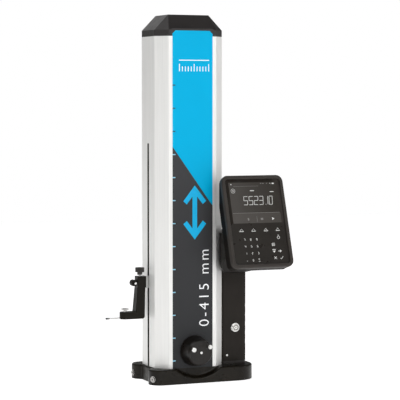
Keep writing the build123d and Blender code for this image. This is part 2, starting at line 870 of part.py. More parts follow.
with BuildPart() as handwheel:
    with BuildSketch(side(wheel_x)):
        with BuildLine():
            Polyline(
                (wheel_back, wheel_z), (wheel_back, wheel_z + wheel_back_radius),
                (wheel_face + wheel_bevel_length, wheel_z + wheel_front_radius),
                (wheel_face, wheel_z + wheel_face_radius), (wheel_face, wheel_z), close=True
            )
        make_face()
    revolve(axis=wheel_axis)
    fillet(handwheel.edges().filter_by(GeomType.CIRCLE), wheel_edge_radius)
    for plane, x, z, radius, depth in (
        (front(wheel_back), wheel_x, wheel_z, shaft_radius, shaft_socket),
        (front(wheel_face + screw_bite), wheel_x, wheel_z, hub_screw_radius / 2, screw_bite),
        (front(wheel_face + screw_bite), crank_x, crank_z, crank_stud_radius, screw_bite),
        (front(wheel_face + plug_sink), plug_x, plug_z, plug_radius, plug_sink),
    ):
        with BuildSketch(plane):
            with Locations((x, z)):
                Circle(radius)
        extrude(amount=depth, mode=Mode.SUBTRACT)
save(handwheel.part, "handwheel")

with BuildPart() as handwheel_shaft:
    with BuildSketch(front(pillow_front + pillow_thickness + shaft_overhang)):
        with Locations((wheel_x, wheel_z)):
            Circle(shaft_radius)
    extrude(amount=pillow_front + pillow_thickness + shaft_overhang - wheel_back + shaft_socket)
save(handwheel_shaft.part, "handwheel_shaft")

with BuildPart() as hub_screw:
    with Locations(Plane((wheel_x, wheel_face, wheel_z), z_dir=(0, -1, 0))):
        add(socket_screw(hub_screw_radius / 2, screw_bite, hub_screw_radius, hub_screw_height))
save(hub_screw.part, "hub_screw")

with BuildPart() as wheel_plug:
    with BuildSketch(front(wheel_face + plug_sink)):
        with Locations((plug_x, plug_z)):
            Circle(plug_radius)
    extrude(amount=plug_sink + plug_proud)
    fillet(wheel_plug.edges().group_by(Axis.Y)[0], plug_proud * dome_share)
save(wheel_plug.part, "wheel_plug")

with BuildPart() as crank_stud:
    with BuildSketch(front(wheel_face + screw_bite)):
        with Locations((crank_x, crank_z)):
            Circle(crank_stud_radius)
    extrude(amount=screw_bite + crank_end_gap + crank_length + crank_end_gap)
    with BuildSketch(front(wheel_face - crank_length - 2 * crank_end_gap)):
        with Locations((crank_x, crank_z)):
            Circle(crank_cap_radius)
    extrude(amount=crank_cap_height)
save(crank_stud.part, "crank_stud")

with BuildPart() as crank_spinner:
    start = wheel_face - crank_end_gap
    with BuildSketch(side(crank_x)):
        with BuildLine():
            Polyline(
                (start, crank_z + crank_stud_radius + running_gap),
                (start, crank_z + crank_radius),
            )
            Spline(
                (start, crank_z + crank_radius),
                (start - crank_length * crank_waist_share, crank_z + crank_waist_radius),
                (start - crank_length, crank_z + crank_radius),
            )
            Polyline(
                (start - crank_length, crank_z + crank_radius),
                (start - crank_length, crank_z + crank_stud_radius + running_gap),
                (start, crank_z + crank_stud_radius + running_gap),
            )
        make_face()
    revolve(axis=Axis((crank_x, 0, crank_z), (0, -1, 0)))
save(crank_spinner.part, "crank_spinner")

# ================================================================ carriage
rail_bore = rail_size + 2 * carriage_rail_gap
bush_outer = rail_size + 2 * bush_wall
scale_bay_back = rail_size / 2 + scale_thickness + scale_gap

with BuildPart() as carriage_block:
    with BuildSketch(level(carriage_z)):
        with Locations((rail_x, 0)):
            Rectangle(carriage_width, carriage_depth)
            Rectangle(rail_bore, rail_bore, mode=Mode.SUBTRACT)
        with Locations((rail_x, scale_bay_back / 2)):
            Rectangle(scale_width + 2 * scale_gap, scale_bay_back, mode=Mode.SUBTRACT)
    extrude(amount=carriage_height)
    for z, direction in ((carriage_z, 1), (carriage_top, -1)):
        with BuildSketch(level(z)):
            with Locations((rail_x, 0)):
                Rectangle(bush_outer, bush_outer)
        extrude(amount=direction * bush_height, mode=Mode.SUBTRACT)
save(carriage_block.part, "carriage_block")

with BuildPart() as rail_bushes:
    for z in (carriage_z, carriage_top - bush_height):
        with BuildSketch(level(z)):
            with Locations((rail_x, 0)):
                Rectangle(bush_outer, bush_outer)
                Rectangle(rail_size + 2 * slide_gap, rail_size + 2 * slide_gap, mode=Mode.SUBTRACT)
            with Locations((rail_x, bush_outer / 2)):
                Rectangle(scale_width + 2 * scale_gap, bush_outer, mode=Mode.SUBTRACT)
        extrude(amount=bush_height)
save(rail_bushes.part, "rail_bushes")

with BuildPart() as reading_head:
    head_front = rail_size / 2 + scale_thickness + scale_gap
    with BuildSketch(level(carriage_top)):
        with Locations((rail_x, (head_front + carriage_depth / 2) / 2)):
            Rectangle(head_width, carriage_depth / 2 - head_front)
    extrude(amount=head_height)
    chamfer(reading_head.edges().group_by(Axis.Z)[-1], head_chamfer)
save(reading_head.part, "reading_head")


def band_window(x):
    """Section of the passage that a clamp leaves round one run of the band."""
    with BuildSketch() as window:
        with Locations((x, 0)):
            Rectangle(band_thickness + 2 * band_gap, band_width + 4 * band_gap)
    return window.sketch


with BuildPart() as band_clamp:
    with BuildSketch(level(carriage_top - clamp_height)):
        with Locations((carriage_right + clamp_length / 2, 0)):
            Rectangle(clamp_length, clamp_depth)
        add(band_window(band_left), mode=Mode.SUBTRACT)
    extrude(amount=clamp_height)
save(band_clamp.part, "band_clamp")

with BuildPart() as slot_link:
    with BuildSketch(level(link_top - link_height)):
        with Locations(((arm_right + carriage_left) / 2, 0)):
            Rectangle(carriage_left - arm_right, link_thickness)
    extrude(amount=link_height)
save(slot_link.part, "slot_link")

# ================================================================ probe arm
thumb_x = arm_middle - thumb_offset
lug_x = arm_left - lug_reach
insert_x = foot_end_x

with BuildPart() as probe_arm:
    with BuildSketch(level(arm_block_bottom)) as block_section:
        with Locations((arm_middle, 0)):
            Rectangle(arm_block_width, arm_depth_top)
        fillet(block_section.vertices(), arm_edge_radius)
    extrude(amount=arm_block_height)
    # the arm widens and leans out towards its foot
    with BuildSketch(level(arm_block_bottom)):
        with Locations((arm_right - arm_lean_top - arm_width_top / 2, 0)):
            RectangleRounded(arm_width_top, arm_depth_top, arm_edge_radius)
    with BuildSketch(level(foot_top)):
        with Locations((arm_right - arm_lean_foot - arm_width_foot / 2, 0)):
            RectangleRounded(arm_width_foot, arm_depth_foot, arm_edge_radius)
    loft()
    with BuildSketch(level(foot_bottom)) as foot_plan:
        with Locations(((foot_end_x + foot_right) / 2, 0)):
            Rectangle(foot_right - foot_end_x, arm_depth_foot)
        with Locations((foot_end_x, 0)):
            Circle(arm_depth_foot / 2)
    extrude(amount=foot_height)
    corner = [
        e for e in probe_arm.edges().filter_by(Axis.Y)
        if abs(e.center().Z - foot_bottom) < 0.01 and e.center().X > foot_right - 1
    ]
    fillet(corner, foot_corner_radius)
    # lug with the side clamp's seat
    with BuildSketch(front(lug_back)):
        with Locations((lug_x, lug_z)):
            Circle(lug_radius)
    extrude(amount=lug_back + lug_front)
    for plane, x, y, radius, depth in (
        (front(-lug_front), lug_x, lug_z, side_pin_radius + running_gap, -side_pin_depth - pin_end_gap),
        (level(arm_top_z), thumb_x, 0, thumb_pin_radius + running_gap, -thumb_pin_depth - pin_end_gap),
        (level(foot_top), insert_x, 0, insert_pin_radius + running_gap, -insert_pin_depth - pin_end_gap),
    ):
        with BuildSketch(plane):
            with Locations((x, y)):
                Circle(radius)
        extrude(amount=depth, mode=Mode.SUBTRACT)
    with BuildSketch(side(foot_left)):
        with Locations((0, stylus_z)):
            Circle(stylus_radius)
    extrude(amount=stylus_held, mode=Mode.SUBTRACT)
save(probe_arm.part, "probe_arm")

with BuildPart() as stylus:
    with BuildSketch(side(foot_left + stylus_held)):
        with Locations((0, stylus_z)):
            Circle(stylus_radius)
    extrude(amount=-(stylus_held + stylus_length - tip_sleeve_length))
save(stylus.part, "stylus")

stylus_end = foot_left - stylus_length
with BuildPart() as stylus_tip:
    with BuildSketch(side(stylus_end + tip_sleeve_length)):
        with Locations((0, stylus_z)):
            Circle(tip_sleeve_radius)
    extrude(amount=-tip_sleeve_length)
    with Locations((stylus_end, 0, stylus_z)):
        Sphere(tip_radius)
save(stylus_tip.part, "stylus_tip")


def knurled(radius):
    """Outline of a knurled rim: a circle with shallow notches all round."""
    with BuildSketch() as rim_outline:
        Circle(radius)
        with PolarLocations(radius, knurl_count):
            Rectangle(knurl_depth * 2, knurl_depth * 2, rotation=45, mode=Mode.SUBTRACT)
    return rim_outline.sketch


with BuildPart() as thumb_screw:
    with BuildSketch(level(arm_top_z - thumb_pin_depth)):
        with Locations((thumb_x, 0)):
            Circle(thumb_pin_radius)
    extrude(amount=thumb_pin_depth + thumb_pin_gap)
save(thumb_screw.part, "thumb_screw")

neck_bottom = arm_top_z + thumb_pin_gap
with BuildPart() as thumb_head:
    with BuildSketch(level(neck_bottom)):
        with Locations((thumb_x, 0)):
            Circle(thumb_neck_radius)
    extrude(amount=thumb_neck_height)
    with BuildSketch(level(neck_bottom + thumb_neck_height)):
        with Locations((thumb_x, 0)):
            add(knurled(thumb_radius))
    extrude(amount=thumb_height)
save(thumb_head.part, "thumb_head")

with BuildPart() as side_clamp:
    with BuildSketch(front(-lug_front + side_pin_depth)):
        with Locations((lug_x, lug_z)):
            Circle(side_pin_radius)
    extrude(amount=side_pin_depth + side_pin_length)
    chamfer(side_clamp.edges().group_by(Axis.Y)[0], side_pin_chamfer)
save(side_clamp.part, "side_clamp")

with BuildPart() as insert_clamp:
    with BuildSketch(level(foot_top - insert_pin_depth)):
        with Locations((insert_x, 0)):
            Circle(insert_pin_radius)
    extrude(amount=insert_pin_depth + insert_seat_gap)
    with BuildSketch(level(foot_top + insert_seat_gap)):
        with Locations((insert_x, 0)):
            Circle(insert_stem_radius)
    extrude(amount=insert_stem_height)
    with BuildSketch(level(foot_top + insert_seat_gap + insert_stem_height)):
        with Locations((insert_x, 0)):
            add(knurled(insert_disc_radius))
    extrude(amount=insert_disc_height)
save(insert_clamp.part, "insert_clamp")

# ================================================================ counterweight
weight_left = band_right + weight_gap
with BuildPart() as counterweight:
    with BuildSketch(level(weight_z)):
        with Locations((weight_left + weight_width / 2, 0)):
            Rectangle(weight_width, weight_depth)
        with Locations((rod_x, 0)):
            Circle(rod_radius + running_gap, mode=Mode.SUBTRACT)
    extrude(amount=weight_height)
    with BuildSketch(level(weight_z + (weight_height - weight_lug_height) / 2)):
        with Locations((weight_left - weight_lug_length / 2, 0)):
            Rectangle(weight_lug_length, clamp_depth)
        add(band_window(band_right), mode=Mode.SUBTRACT)
    extrude(amount=weight_lug_height)
save(counterweight.part, "counterweight")

# ================================================================ grip pillar


def pillar_section(inset):
    """The pillar's rounded section, drawn inset by a wall."""
    with BuildSketch() as section:
        with Locations((pillar_middle, 0)):
            RectangleRounded(
                pillar_width - 2 * inset, pillar_depth - 2 * inset, max(pillar_radius - inset, least_radius)
            )
    return section.sketch


with BuildPart() as pillar_plinth:
    with BuildSketch(level(base_height)):
        add(pillar_section(plinth_inset))
    extrude(amount=plinth_height)
save(pillar_plinth.part, "pillar_plinth")

with BuildPart() as pillar_shell:
    with BuildSketch(level(plinth_top)):
        add(pillar_section(0))
    extrude(amount=pillar_top - plinth_top)
    fillet(pillar_shell.edges().group_by(Axis.Z)[-1], pillar_top_fillet)
    with BuildSketch(level(plinth_top)):
        add(pillar_section(pillar_wall))
    extrude(amount=pillar_top - pillar_wall - plinth_top, mode=Mode.SUBTRACT)
    # finger grooves down the outer side
    with BuildSketch(front(pillar_back)):
        for i in range(groove_count):
            with Locations((
                pillar_right + groove_radius - groove_depth, groove_low_z + i * groove_pitch
            )):
                Circle(groove_radius)
    extrude(amount=pillar_depth, mode=Mode.SUBTRACT)

# the pillar is moulded in two halves that meet on a plane across its depth
with BuildPart() as grip_front:
    add(pillar_shell.part)
    split(bisect_by=front(pillar_seam_y), keep=Keep.TOP)
    for x, z, radius in (
        (button_x, button_z, button_cup_radius), (lamp_x, lamp_z, lamp_radius),
        *[(x, z, arm_screw_radius) for x, z in arm_screw_spots],
    ):
        with BuildSketch(front(pillar_front)):
            with Locations((x, z)):
                Circle(radius)
        extrude(amount=-pillar_wall, mode=Mode.SUBTRACT)
save(grip_front.part, "grip_front")

with BuildPart() as grip_rear:
    add(pillar_shell.part)
    split(bisect_by=front(pillar_seam_y), keep=Keep.BOTTOM)
    with BuildSketch(front(pillar_back)):
        with Locations((pillar_middle, inlet_z)):
            Circle(inlet_radius)
        with Locations(*cover_screw_spots):
            Circle(cover_screw_radius)
    extrude(amount=pillar_wall, mode=Mode.SUBTRACT)
save(grip_rear.part, "grip_rear")

with BuildPart() as cover_screws:
    with Locations(*[Location((x, pillar_back, z), (-90, 0, 0)) for x, z in cover_screw_spots]):
        add(socket_screw(cover_screw_radius, cover_screw_length, cover_head_radius, cover_head_height))
save(cover_screws.part, "cover_screws")

with BuildPart() as charger_inlet:
    with BuildSketch(front(pillar_back + inlet_rim_height)):
        with Locations((pillar_middle, inlet_z)):
            Circle(inlet_rim_radius)
    extrude(amount=inlet_rim_height)
    with BuildSketch(front(pillar_back)):
        with Locations((pillar_middle, inlet_z)):
            Circle(inlet_radius)
    extrude(amount=inlet_depth)
    with BuildSketch(front(pillar_back + inlet_rim_height)):
        with Locations((pillar_middle, inlet_z)):
            Circle(inlet_radius - inlet_wall)
    extrude(amount=inlet_rim_height + inlet_depth - inlet_wall, mode=Mode.SUBTRACT)
    with BuildSketch(front(pillar_back - inlet_depth + inlet_wall + inlet_pin_length)):
        with Locations((pillar_middle, inlet_z)):
            Circle(inlet_pin_radius)
    extrude(amount=inlet_pin_length + inlet_wall / 2)
save(charger_inlet.part, "charger_inlet")

with BuildPart() as battery_pack:
    with BuildSketch(level(plinth_top)):
        with Locations((pillar_middle, pillar_front + pillar_wall + battery_gap + battery_depth / 2)):
            RectangleRounded(battery_width, battery_depth, battery_radius)
    extrude(amount=battery_height)
save(battery_pack.part, "battery_pack")

with BuildPart() as air_pump:
    with BuildSketch(level(plinth_top)):
        with Locations((pillar_middle, pump_y)):
            Circle(pump_radius)
    extrude(amount=pump_height)
    with BuildSketch(level(plinth_top + pump_height)):
        with Locations((pillar_middle, pump_y)):
            Circle(pump_neck_radius)
    extrude(amount=pump_neck_height)
save(air_pump.part, "air_pump")

with BuildPart() as button_bezel:
    with BuildSketch(front(pillar_front)):
        with Locations((button_x, button_z)):
            Circle(button_bezel_radius)
    extrude(amount=button_bezel_height)
    chamfer(button_bezel.edges().group_by(Axis.Y)[0], button_bezel_height / 2)
    with BuildSketch(front(pillar_front)):
        with Locations((button_x, button_z)):
            Circle(button_cup_radius)
    extrude(amount=-button_cup_depth)
    with BuildSketch(front(pillar_front - button_bezel_height)):
        with Locations((button_x, button_z)):
            Circle(button_radius + running_gap)
    extrude(amount=button_cup_wall - button_bezel_height - button_cup_depth, mode=Mode.SUBTRACT)
save(button_bezel.part, "button_bezel")

with BuildPart() as air_button:
    with BuildSketch(front(pillar_front - button_bezel_height - button_proud)):
        with Locations((button_x, button_z)):
            Circle(button_radius)
    extrude(amount=-button_proud - button_bezel_height - button_length)
    chamfer(air_button.edges().group_by(Axis.Y)[0], button_chamfer)
    with BuildSketch(front(pillar_front - button_bezel_height - button_proud)):
        with Locations((button_x, button_z)):
            Circle(button_ring_radius)
            Circle(button_ring_radius - button_ring_width, mode=Mode.SUBTRACT)
    extrude(amount=-button_ring_depth, mode=Mode.SUBTRACT)
save(air_button.part, "air_button")

with BuildPart() as status_lamp:
    with BuildSketch(front(pillar_front + pillar_wall)):
        with Locations((lamp_x, lamp_z)):
            Circle(lamp_radius)
    extrude(amount=pillar_wall + lamp_proud)
    fillet(status_lamp.edges().group_by(Axis.Y)[0], lamp_proud * dome_share)
save(status_lamp.part, "status_lamp")

# ================================================================ display arm
with BuildPart() as display_arm:
    with BuildSketch(side(arm_left_x)):
        with BuildLine():
            Polyline(
                (pillar_front, arm_low_z), (pillar_front, pillar_top), (arm_brow_y, pillar_top),
                (arm_brow_y, hinge_z), (arm_root_y, arm_belly_z), close=True
            )
        make_face()
        with Locations((hinge_y, hinge_z)):
            Circle(hinge_eye_radius)
        make_hull()
        with Locations((hinge_y, hinge_z)):
            Circle(hinge_pin_radius, mode=Mode.SUBTRACT)
    extrude(amount=arm_right_x - arm_left_x)
    # the wing passes in front of the column's chamfer
    with BuildSketch(level(arm_low_z)):
        with BuildLine():
            Polyline(
                (arm_left_x - cut_margin, arm_root_y), (pillar_left, arm_root_y),
                (pillar_left, pillar_front + cut_margin),
                (arm_left_x - cut_margin, pillar_front + cut_margin), close=True
            )
        make_face()
    extrude(amount=pillar_top - arm_low_z, mode=Mode.SUBTRACT)
    # and its lower corner is rounded into the pillar
    with BuildSketch(front(arm_root_y)):
        with Locations((arm_left_x + arm_corner_radius / 2, arm_low_z + arm_corner_radius / 2)):
            Rectangle(arm_corner_radius, arm_corner_radius)
        with Locations((arm_left_x + arm_corner_radius, arm_low_z + arm_corner_radius)):
            Circle(arm_corner_radius, mode=Mode.SUBTRACT)
    extrude(amount=pillar_front - arm_root_y, both=True, mode=Mode.SUBTRACT)
    # gap between the ears
    with BuildSketch(level(arm_low_z)):
        with BuildLine():
            Polyline(
                (arm_left_x + ear_width, arm_bridge_y), (arm_right_x - ear_width, arm_bridge_y),
                (arm_right_x - ear_width, hinge_y - 2 * hinge_eye_radius),
                (arm_left_x + ear_width, hinge_y - 2 * hinge_eye_radius), close=True
            )
        make_face()
    extrude(amount=pillar_top - arm_low_z, mode=Mode.SUBTRACT)
    with BuildSketch(front(pillar_front)):
        with Locations(*arm_screw_spots):
            Circle(arm_screw_radius)
    extrude(amount=arm_screw_bite, mode=Mode.SUBTRACT)
save(display_arm.part, "display_arm")

with BuildPart() as arm_screws:
    with Locations(*[
        Location((x, pillar_front + pillar_wall, z), (-90, 0, 0)) for x, z in arm_screw_spots
    ]):
        add(socket_screw(
            arm_screw_radius, pillar_wall + arm_screw_bite, arm_screw_head_radius,
            arm_screw_head_height
        ))
save(arm_screws.part, "arm_screws")

with BuildPart() as hinge_pin:
    with BuildSketch(side(arm_left_x)):
        with Locations((hinge_y, hinge_z)):
            Circle(hinge_pin_radius)
    extrude(amount=arm_right_x - arm_left_x)
save(hinge_pin.part, "hinge_pin")

# ================================================================ display
display_plane = Plane(
    origin=(display_x, display_y, display_z), x_dir=(1, 0, 0), z_dir=(0, -cos(tilt), sin(tilt))
)
hinge_up = (hinge_y - display_y) * sin(tilt) + (hinge_z - display_z) * cos(tilt)
hinge_in = -(hinge_y - display_y) * cos(tilt) + (hinge_z - display_z) * sin(tilt)
knuckle_left = arm_left_x + ear_width + knuckle_gap
knuckle_right = arm_right_x - ear_width - knuckle_gap
opening_width = display_width - 2 * bezel_width
opening_length = display_length - 2 * bezel_width
opening_radius = display_radius - bezel_width
screw_grid = (display_width - 2 * display_screw_inset, display_length - 2 * display_screw_inset)


def depth(distance):
    """Plane parallel to the display's front, this far behind it."""
    return display_plane.offset(-distance)


def rounded(inset):
    """The display's rounded outline, drawn inset."""
    with BuildSketch() as outline:
        RectangleRounded(
            display_width - 2 * inset, display_length - 2 * inset, max(display_radius - inset, least_radius)
        )
    return outline.sketch


def housing(wall, edge_radius):
    """Volume of the display's wedge-backed housing, drawn inset by a wall."""
    with BuildPart() as volume:
        with BuildSketch(depth(bezel_thickness)):
            add(rounded(shell_inset + wall))
        extrude(amount=bezel_thickness - display_thickness + wall)
        split(bisect_by=front(display_back_y - wall), keep=Keep.TOP)
        if edge_radius:
            back_faces = volume.faces().sort_by(Axis(display_plane.origin, display_plane.z_dir))[:2]
            fillet(back_faces.edges(), edge_radius)
    return volume.part


upper_spots = [(sx * screw_grid[0] / 2, screw_grid[1] / 2) for sx in (-1, 1)]
lower_spots = [(sx * screw_grid[0] / 2, -screw_grid[1] / 2) for sx in (-1, 1)]
board_low = -opening_length / 2 + board_margin
board_high = opening_length / 2 - board_top_margin
board_middle = (board_low + board_high) / 2

with BuildPart() as display_shell:
    add(housing(0, shell_edge_radius))
    add(housing(shell_wall, 0), mode=Mode.SUBTRACT)
    with BuildSketch(depth(bezel_thickness)):
        with GridLocations(*screw_grid, 2, 2):
            Circle(post_radius)
    extrude(amount=bezel_thickness - display_thickness + shell_wall / 2)
    with BuildSketch(depth(board_depth + board_thickness)):
        with Locations((0, board_middle)):
            with GridLocations(board_post_x, board_post_y, 2, 2):
                Circle(board_post_radius)
    extrude(amount=board_depth + board_thickness - display_thickness + shell_wall / 2)
    # the posts end in the slanting wall
    add(housing(0, shell_edge_radius), mode=Mode.INTERSECT)
    # hinge knuckle on a short leaf
    with BuildSketch(depth(display_thickness - shell_wall / 2)):
        with Locations(((knuckle_left + knuckle_right) / 2 - display_x, hinge_up)):
            Rectangle(knuckle_right - knuckle_left, 2 * hinge_eye_radius)
    extrude(amount=-(-hinge_in - display_thickness + shell_wall / 2))
    with BuildSketch(side(knuckle_left)):
        with Locations((hinge_y, hinge_z)):
            Circle(hinge_eye_radius)
    extrude(amount=knuckle_right - knuckle_left)
    with BuildSketch(side(knuckle_left)):
        with Locations((hinge_y, hinge_z)):
            Circle(hinge_pin_radius + running_gap)
    extrude(amount=knuckle_right - knuckle_left, mode=Mode.SUBTRACT)
    with BuildSketch(depth(bezel_thickness)):
        with GridLocations(*screw_grid, 2, 2):
            Circle(display_screw_radius)
    extrude(amount=bezel_thickness - display_thickness, mode=Mode.SUBTRACT)
    with BuildSketch(depth(display_upper_seat)):
        with Locations(*upper_spots):
            Circle(display_head_radius + head_hole_gap)
    extrude(amount=display_upper_seat - display_thickness, mode=Mode.SUBTRACT)
save(display_shell.part, "display_shell")

with BuildPart() as display_bezel:
    with BuildSketch(depth(bezel_thickness)):
        add(rounded(0))
    extrude(amount=bezel_thickness)
    front_face = display_bezel.faces().sort_by(Axis(display_plane.origin, display_plane.z_dir))[-1]
    fillet(front_face.edges(), bezel_fillet)
    with BuildSketch(depth(0)):
        RectangleRounded(opening_width, opening_length, opening_radius)
    extrude(amount=-window_seat, mode=Mode.SUBTRACT)
    front_face = display_bezel.faces().sort_by(Axis(display_plane.origin, display_plane.z_dir))[-1]
    fillet(front_face.inner_wires()[0].edges(), bezel_inner_fillet)
    with BuildSketch(depth(window_seat)):
        RectangleRounded(
            opening_width - 2 * bezel_ledge, opening_length - 2 * bezel_ledge,
            opening_radius - bezel_ledge
        )
    extrude(amount=-bezel_thickness, mode=Mode.SUBTRACT)
    with BuildSketch(depth(bezel_thickness)):
        with GridLocations(*screw_grid, 2, 2):
            Circle(post_radius)
            Circle(display_screw_radius, mode=Mode.SUBTRACT)
    extrude(amount=bezel_thickness - window_seat)
save(display_bezel.part, "display_bezel")

split_up = opening_length / 2 - window_length


def front_panel(low, high):
    """Flat pane that fills the bezel's opening between two heights."""
    with BuildPart() as pane:
        with BuildSketch(depth(window_seat)):
            RectangleRounded(
                opening_width - 2 * pane_gap, opening_length - 2 * pane_gap,
                opening_radius - pane_gap
            )
            with Locations((0, (low + high) / 2)):
                Rectangle(opening_width, high - low, mode=Mode.INTERSECT)
        extrude(amount=window_thickness)
    return pane.part


save(front_panel(split_up, opening_length / 2), "display_window")
save(front_panel(-opening_length / 2, split_up), "keypad")

with BuildPart() as lcd_module:
    with BuildSketch(depth(window_seat + lcd_thickness)):
        with Locations((0, split_up + window_length / 2)):
            Rectangle(opening_width - 2 * lcd_margin, window_length - 2 * lcd_margin)
    extrude(amount=lcd_thickness)
save(lcd_module.part, "lcd_module")

with BuildPart() as main_board:
    with BuildSketch(depth(board_depth + board_thickness)):
        with Locations((0, board_middle)):
            Rectangle(opening_width - 2 * board_margin, board_high - board_low)
        with Locations(*lower_spots):
            Circle(post_radius + board_margin, mode=Mode.SUBTRACT)
    extrude(amount=board_thickness)
save(main_board.part, "main_board")

with BuildPart() as display_screws:
    for spots, seat in ((lower_spots, display_thickness), (upper_spots, display_upper_seat)):
        with Locations(depth(seat)):
            with Locations(*[Location((x, y, 0), (180, 0, 0)) for x, y in spots]):
                add(socket_screw(
                    display_screw_radius, seat - display_screw_end, display_head_radius,
                    display_head_height
                ))
save(display_screws.part, "display_screws")
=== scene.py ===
import math

import bmesh
import bpy
from mathutils import Matrix, Vector


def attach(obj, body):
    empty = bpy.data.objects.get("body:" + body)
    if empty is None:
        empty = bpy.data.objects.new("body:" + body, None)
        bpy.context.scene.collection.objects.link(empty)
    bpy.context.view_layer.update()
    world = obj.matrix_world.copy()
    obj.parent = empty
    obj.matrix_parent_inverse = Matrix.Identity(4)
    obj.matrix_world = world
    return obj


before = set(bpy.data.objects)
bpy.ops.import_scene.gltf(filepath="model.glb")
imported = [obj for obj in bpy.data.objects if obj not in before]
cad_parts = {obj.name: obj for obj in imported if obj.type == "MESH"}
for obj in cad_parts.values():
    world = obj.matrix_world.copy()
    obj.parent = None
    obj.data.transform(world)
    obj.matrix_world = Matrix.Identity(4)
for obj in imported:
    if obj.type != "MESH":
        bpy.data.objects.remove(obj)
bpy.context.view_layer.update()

MM = 0.001

# the photograph's camera, fitted to the column's edges, the label's ticks and the base (metres, degrees)
CAMERA_PLACE = Vector((-1.503342, -3.606451, 0.612135))
CAMERA_TURN, CAMERA_PITCH = math.radians(-23.2168), math.radians(3.1472)
CAMERA_LENS, CAMERA_SENSOR, CAMERA_REACH = 159.344, 36.0, 60.0

# the studio in metres: a floor, with white walls that stand on it
FLOOR_X, FLOOR_Y = 9, 7
WALL_BACK, WALL_FOOT, WALL_TOP = 5, -0.01, 6
FLOOR_TONE, FLOOR_GLOW, WALL_GLOW, WORLD_GLOW = 0.93, 0.80, 1.0, 0.17
LIGHTS = (
    # name, place, aimed at, size, power in watts
    ("overhead", (-2.3, 0.5, 4.2), (0, 0, 0.4), (2.6, 3.4), 48),
    ("front_soft", (0.4, -4.6, 1.9), (0, 0, 0.4), (2.8, 2.4), 72),
    ("left_soft", (-2.4, -3.7, 2.3), (0, 0, 0.60), (1.4, 1.8), 9),
    ("right_soft", (3.9, -2.2, 1.2), (0, 0, 0.45), (1.2, 2.2), 19),
    ("rear_soft", (0, 3.6, 2.5), (0, 0, 0.6), (3.2, 1.2), 13),
)

# the display's pane: tilt, then its middle at rest; its screen reaches SCREEN_HALF to each side
DISPLAY_TILT = math.radians(18.24)
DISPLAY_NORMAL = Vector((0, -math.cos(DISPLAY_TILT), math.sin(DISPLAY_TILT)))
DISPLAY_UP = Vector((0, math.sin(DISPLAY_TILT), math.cos(DISPLAY_TILT)))
PANE_DEPTH = 4 * MM
DISPLAY_ORIGIN = Vector((0.1203, -0.1397, 0.3564)) - DISPLAY_NORMAL * PANE_DEPTH
SCREEN_SHIFT, SCREEN_HALF = 0.8 * MM, 57.4 * MM
SCREEN_LOW, SCREEN_TOP, SCREEN_FOOT = -5.0 * MM, 88.0 * MM, 18.1 * MM

# the label's printed face, its two-colour edge, and the axis of the grip's button
LABEL_FRONT = -61.25 * MM
LABEL_EDGE_SLOPE, LABEL_EDGE_LEVEL = 1.376, 452.0 * MM
BUTTON_X, BUTTON_Z = 111.4 * MM, 113.5 * MM

# prints lie this far off their surface and are this thick, in millimetres
PRINT_RISE, PRINT_THICK = 0.02, 0.05


# ---------------------------------------------------------------- camera, floor and light
def link(obj):
    bpy.context.collection.objects.link(obj)
    return obj


def make_camera():
    turn, pitch = CAMERA_TURN, CAMERA_PITCH
    forward = Vector((-math.sin(turn) * math.cos(pitch), math.cos(turn) * math.cos(pitch), -math.sin(pitch)))
    right = Vector((math.cos(turn), math.sin(turn), 0))
    up = right.cross(forward)
    data = bpy.data.cameras.new("camera")
    data.lens = CAMERA_LENS
    data.sensor_width = CAMERA_SENSOR
    data.clip_end = CAMERA_REACH
    camera = link(bpy.data.objects.new("camera", data))
    rotation = Matrix((right, up, -forward)).transposed().to_4x4()
    camera.matrix_world = Matrix.Translation(CAMERA_PLACE) @ rotation
    bpy.context.scene.camera = camera


def sheet_object(name, corners, material):
    mesh = bpy.data.meshes.new(name)
    mesh.from_pydata(corners, [], [tuple(range(len(corners)))])
    mesh.materials.append(material)
    obj = link(bpy.data.objects.new(name, mesh))
    return obj


def area_light(name, place, target, size, power):
    data = bpy.data.lights.new(name, "AREA")
    data.shape = "RECTANGLE"
    data.size, data.size_y = size
    data.energy = power
    obj = link(bpy.data.objects.new(name, data))
    obj.location = place
    obj.rotation_euler = (Vector(target) - Vector(place)).to_track_quat("-Z", "Y").to_euler()


def floor_material():
    made = bpy.data.materials.new("floor_white")
    made.use_nodes = True
    inputs = made.node_tree.nodes["Principled BSDF"].inputs
    inputs["Base Color"].default_value = (FLOOR_TONE, FLOOR_TONE, FLOOR_TONE, 1)
    inputs["Roughness"].default_value = 0.9
    inputs["Specular IOR Level"].default_value = 0.0
    inputs["Emission Color"].default_value = (1, 1, 1, 1)
    inputs["Emission Strength"].default_value = FLOOR_GLOW
    return made


def wall_material():
    made = bpy.data.materials.new("backdrop_white")
    made.use_nodes = True
    nodes = made.node_tree.nodes
    nodes.remove(nodes["Principled BSDF"])
    glow = nodes.new("ShaderNodeEmission")
    glow.inputs["Color"].default_value = (1, 1, 1, 1)
    glow.inputs["Strength"].default_value = WALL_GLOW
    made.node_tree.links.new(glow.outputs[0], nodes["Material Output"].inputs["Surface"])
    return made


def wall(name, a, b, material):
    """A white wall from a to b that the camera sees and the part doesn't reflect."""
    obj = sheet_object(name, [(*a, WALL_FOOT), (*b, WALL_FOOT), (*b, WALL_TOP), (*a, WALL_TOP)], material)
    obj.visible_diffuse = obj.visible_glossy = False
    return obj


